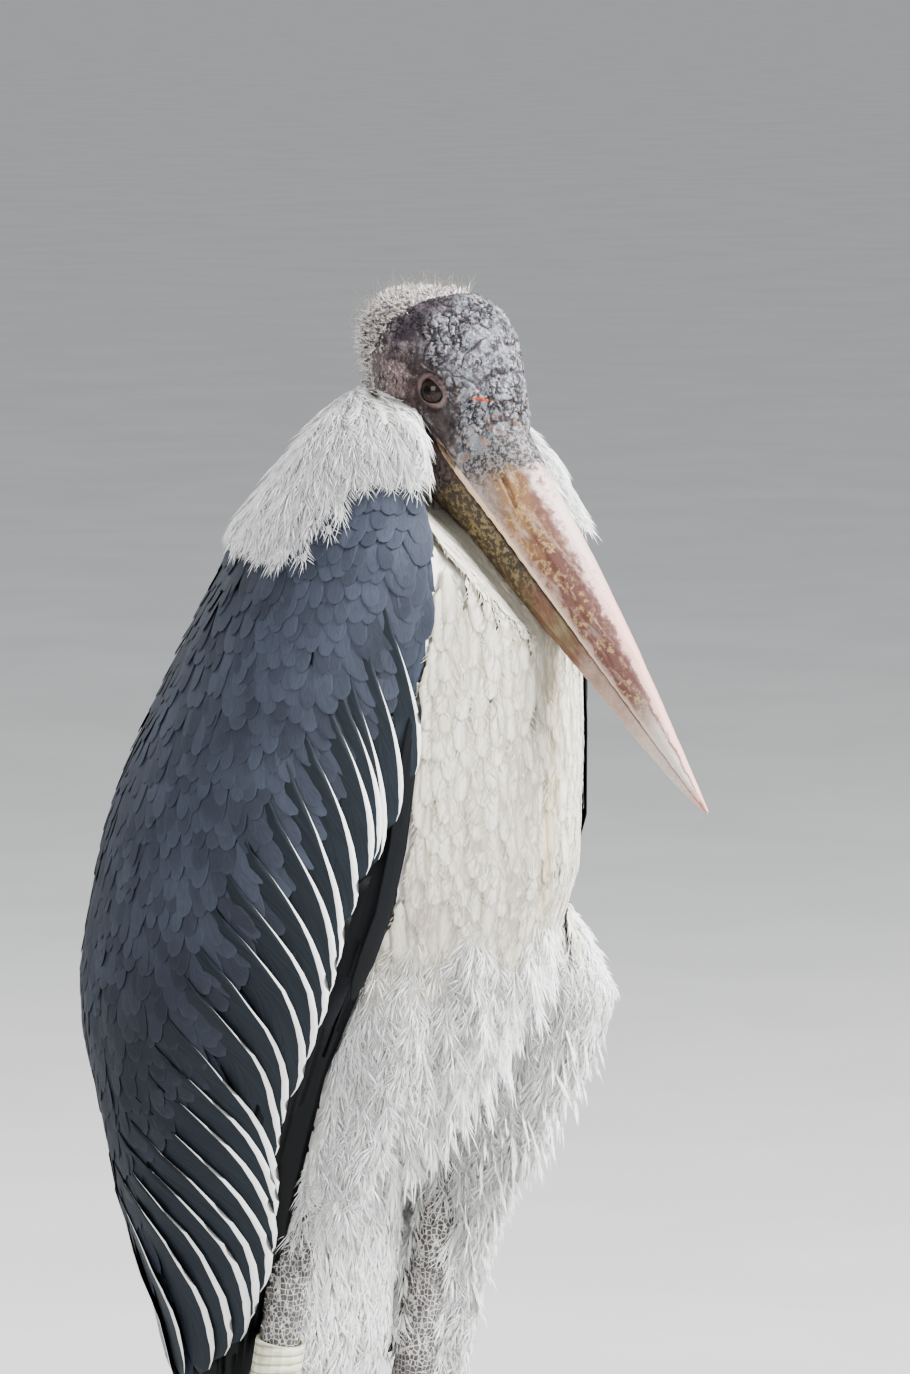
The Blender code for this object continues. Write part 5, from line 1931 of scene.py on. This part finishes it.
class StorkStage(bpy.types.Operator):
    """Floor, lights, world and camera."""

    bl_idname = "stork.stage"
    bl_label = "Stage"

    def execute(self, context):
        scene = context.scene
        mesh = bpy.data.meshes.new("floor")
        with editing(mesh) as bm:
            bmesh.ops.create_grid(bm, x_segments=1, y_segments=1, size=FLOOR_HALF)
        mesh.materials.append(floor_material())
        floor = linked("floor", mesh)

        for name, place, size, power in LAMPS:
            light = bpy.data.lights.new(name, "AREA")
            light.energy = power
            light.size = size
            placed(name, light, place, LAMP_AIM)

        world = bpy.data.worlds.new("studio")
        world.use_nodes = True
        sky = world.node_tree.nodes["Background"]
        sky.inputs["Color"].default_value = (0.80, 0.82, 0.85, 1)
        sky.inputs["Strength"].default_value = 0.62
        scene.world = world
        scene.view_settings.look = "AgX - Medium High Contrast"

        data = bpy.data.cameras.new("camera")
        data.lens = CAMERA_LENS
        data.sensor_width = 36.0
        level, rise = math.cos(CAMERA_ELEVATION), math.sin(CAMERA_ELEVATION)
        away = Vector((level * math.sin(CAMERA_AZIMUTH), -level * math.cos(CAMERA_AZIMUTH), rise))
        camera = placed("camera", data, CAMERA_AIM + CAMERA_DISTANCE * away, CAMERA_AIM)
        scene.camera = camera
        return {"FINISHED"}


OPERATORS = (
    StorkSkin, StorkCoverts, StorkGreaterCoverts, StorkFlightFeathers, StorkBreast, StorkDown,
    StorkRuff, StorkCrest, StorkBill, StorkEyes, StorkClaws, StorkRing, StorkStage,
)


class StorkPanel(bpy.types.Panel):
    """Lists the settings and the operators."""

    bl_idname = "VIEW3D_PT_stork"
    bl_label = "Stork"
    bl_space_type = "VIEW_3D"
    bl_region_type = "UI"
    bl_category = "Stork"

    def draw(self, context):
        for group in (context.scene.stork_sizes, context.scene.stork_colours):
            for name in group.bl_rna.properties.keys():
                if name not in ("rna_type", "name"):
                    self.layout.prop(group, name)
        for operator in OPERATORS:
            self.layout.operator(operator.bl_idname)


CLASSES = (StorkSizes, StorkColours, *OPERATORS, StorkPanel)


def register():
    for cls in CLASSES:
        bpy.utils.register_class(cls)
    bpy.types.Scene.stork_sizes = bpy.props.PointerProperty(type=StorkSizes)
    bpy.types.Scene.stork_colours = bpy.props.PointerProperty(type=StorkColours)


def unregister():
    del bpy.types.Scene.stork_sizes
    del bpy.types.Scene.stork_colours
    for cls in reversed(CLASSES):
        bpy.utils.unregister_class(cls)


def main():
    register()
    for operator in OPERATORS:
        group, name = operator.bl_idname.split(".")
        getattr(getattr(bpy.ops, group), name)()


if __name__ == "__main__":
    main()
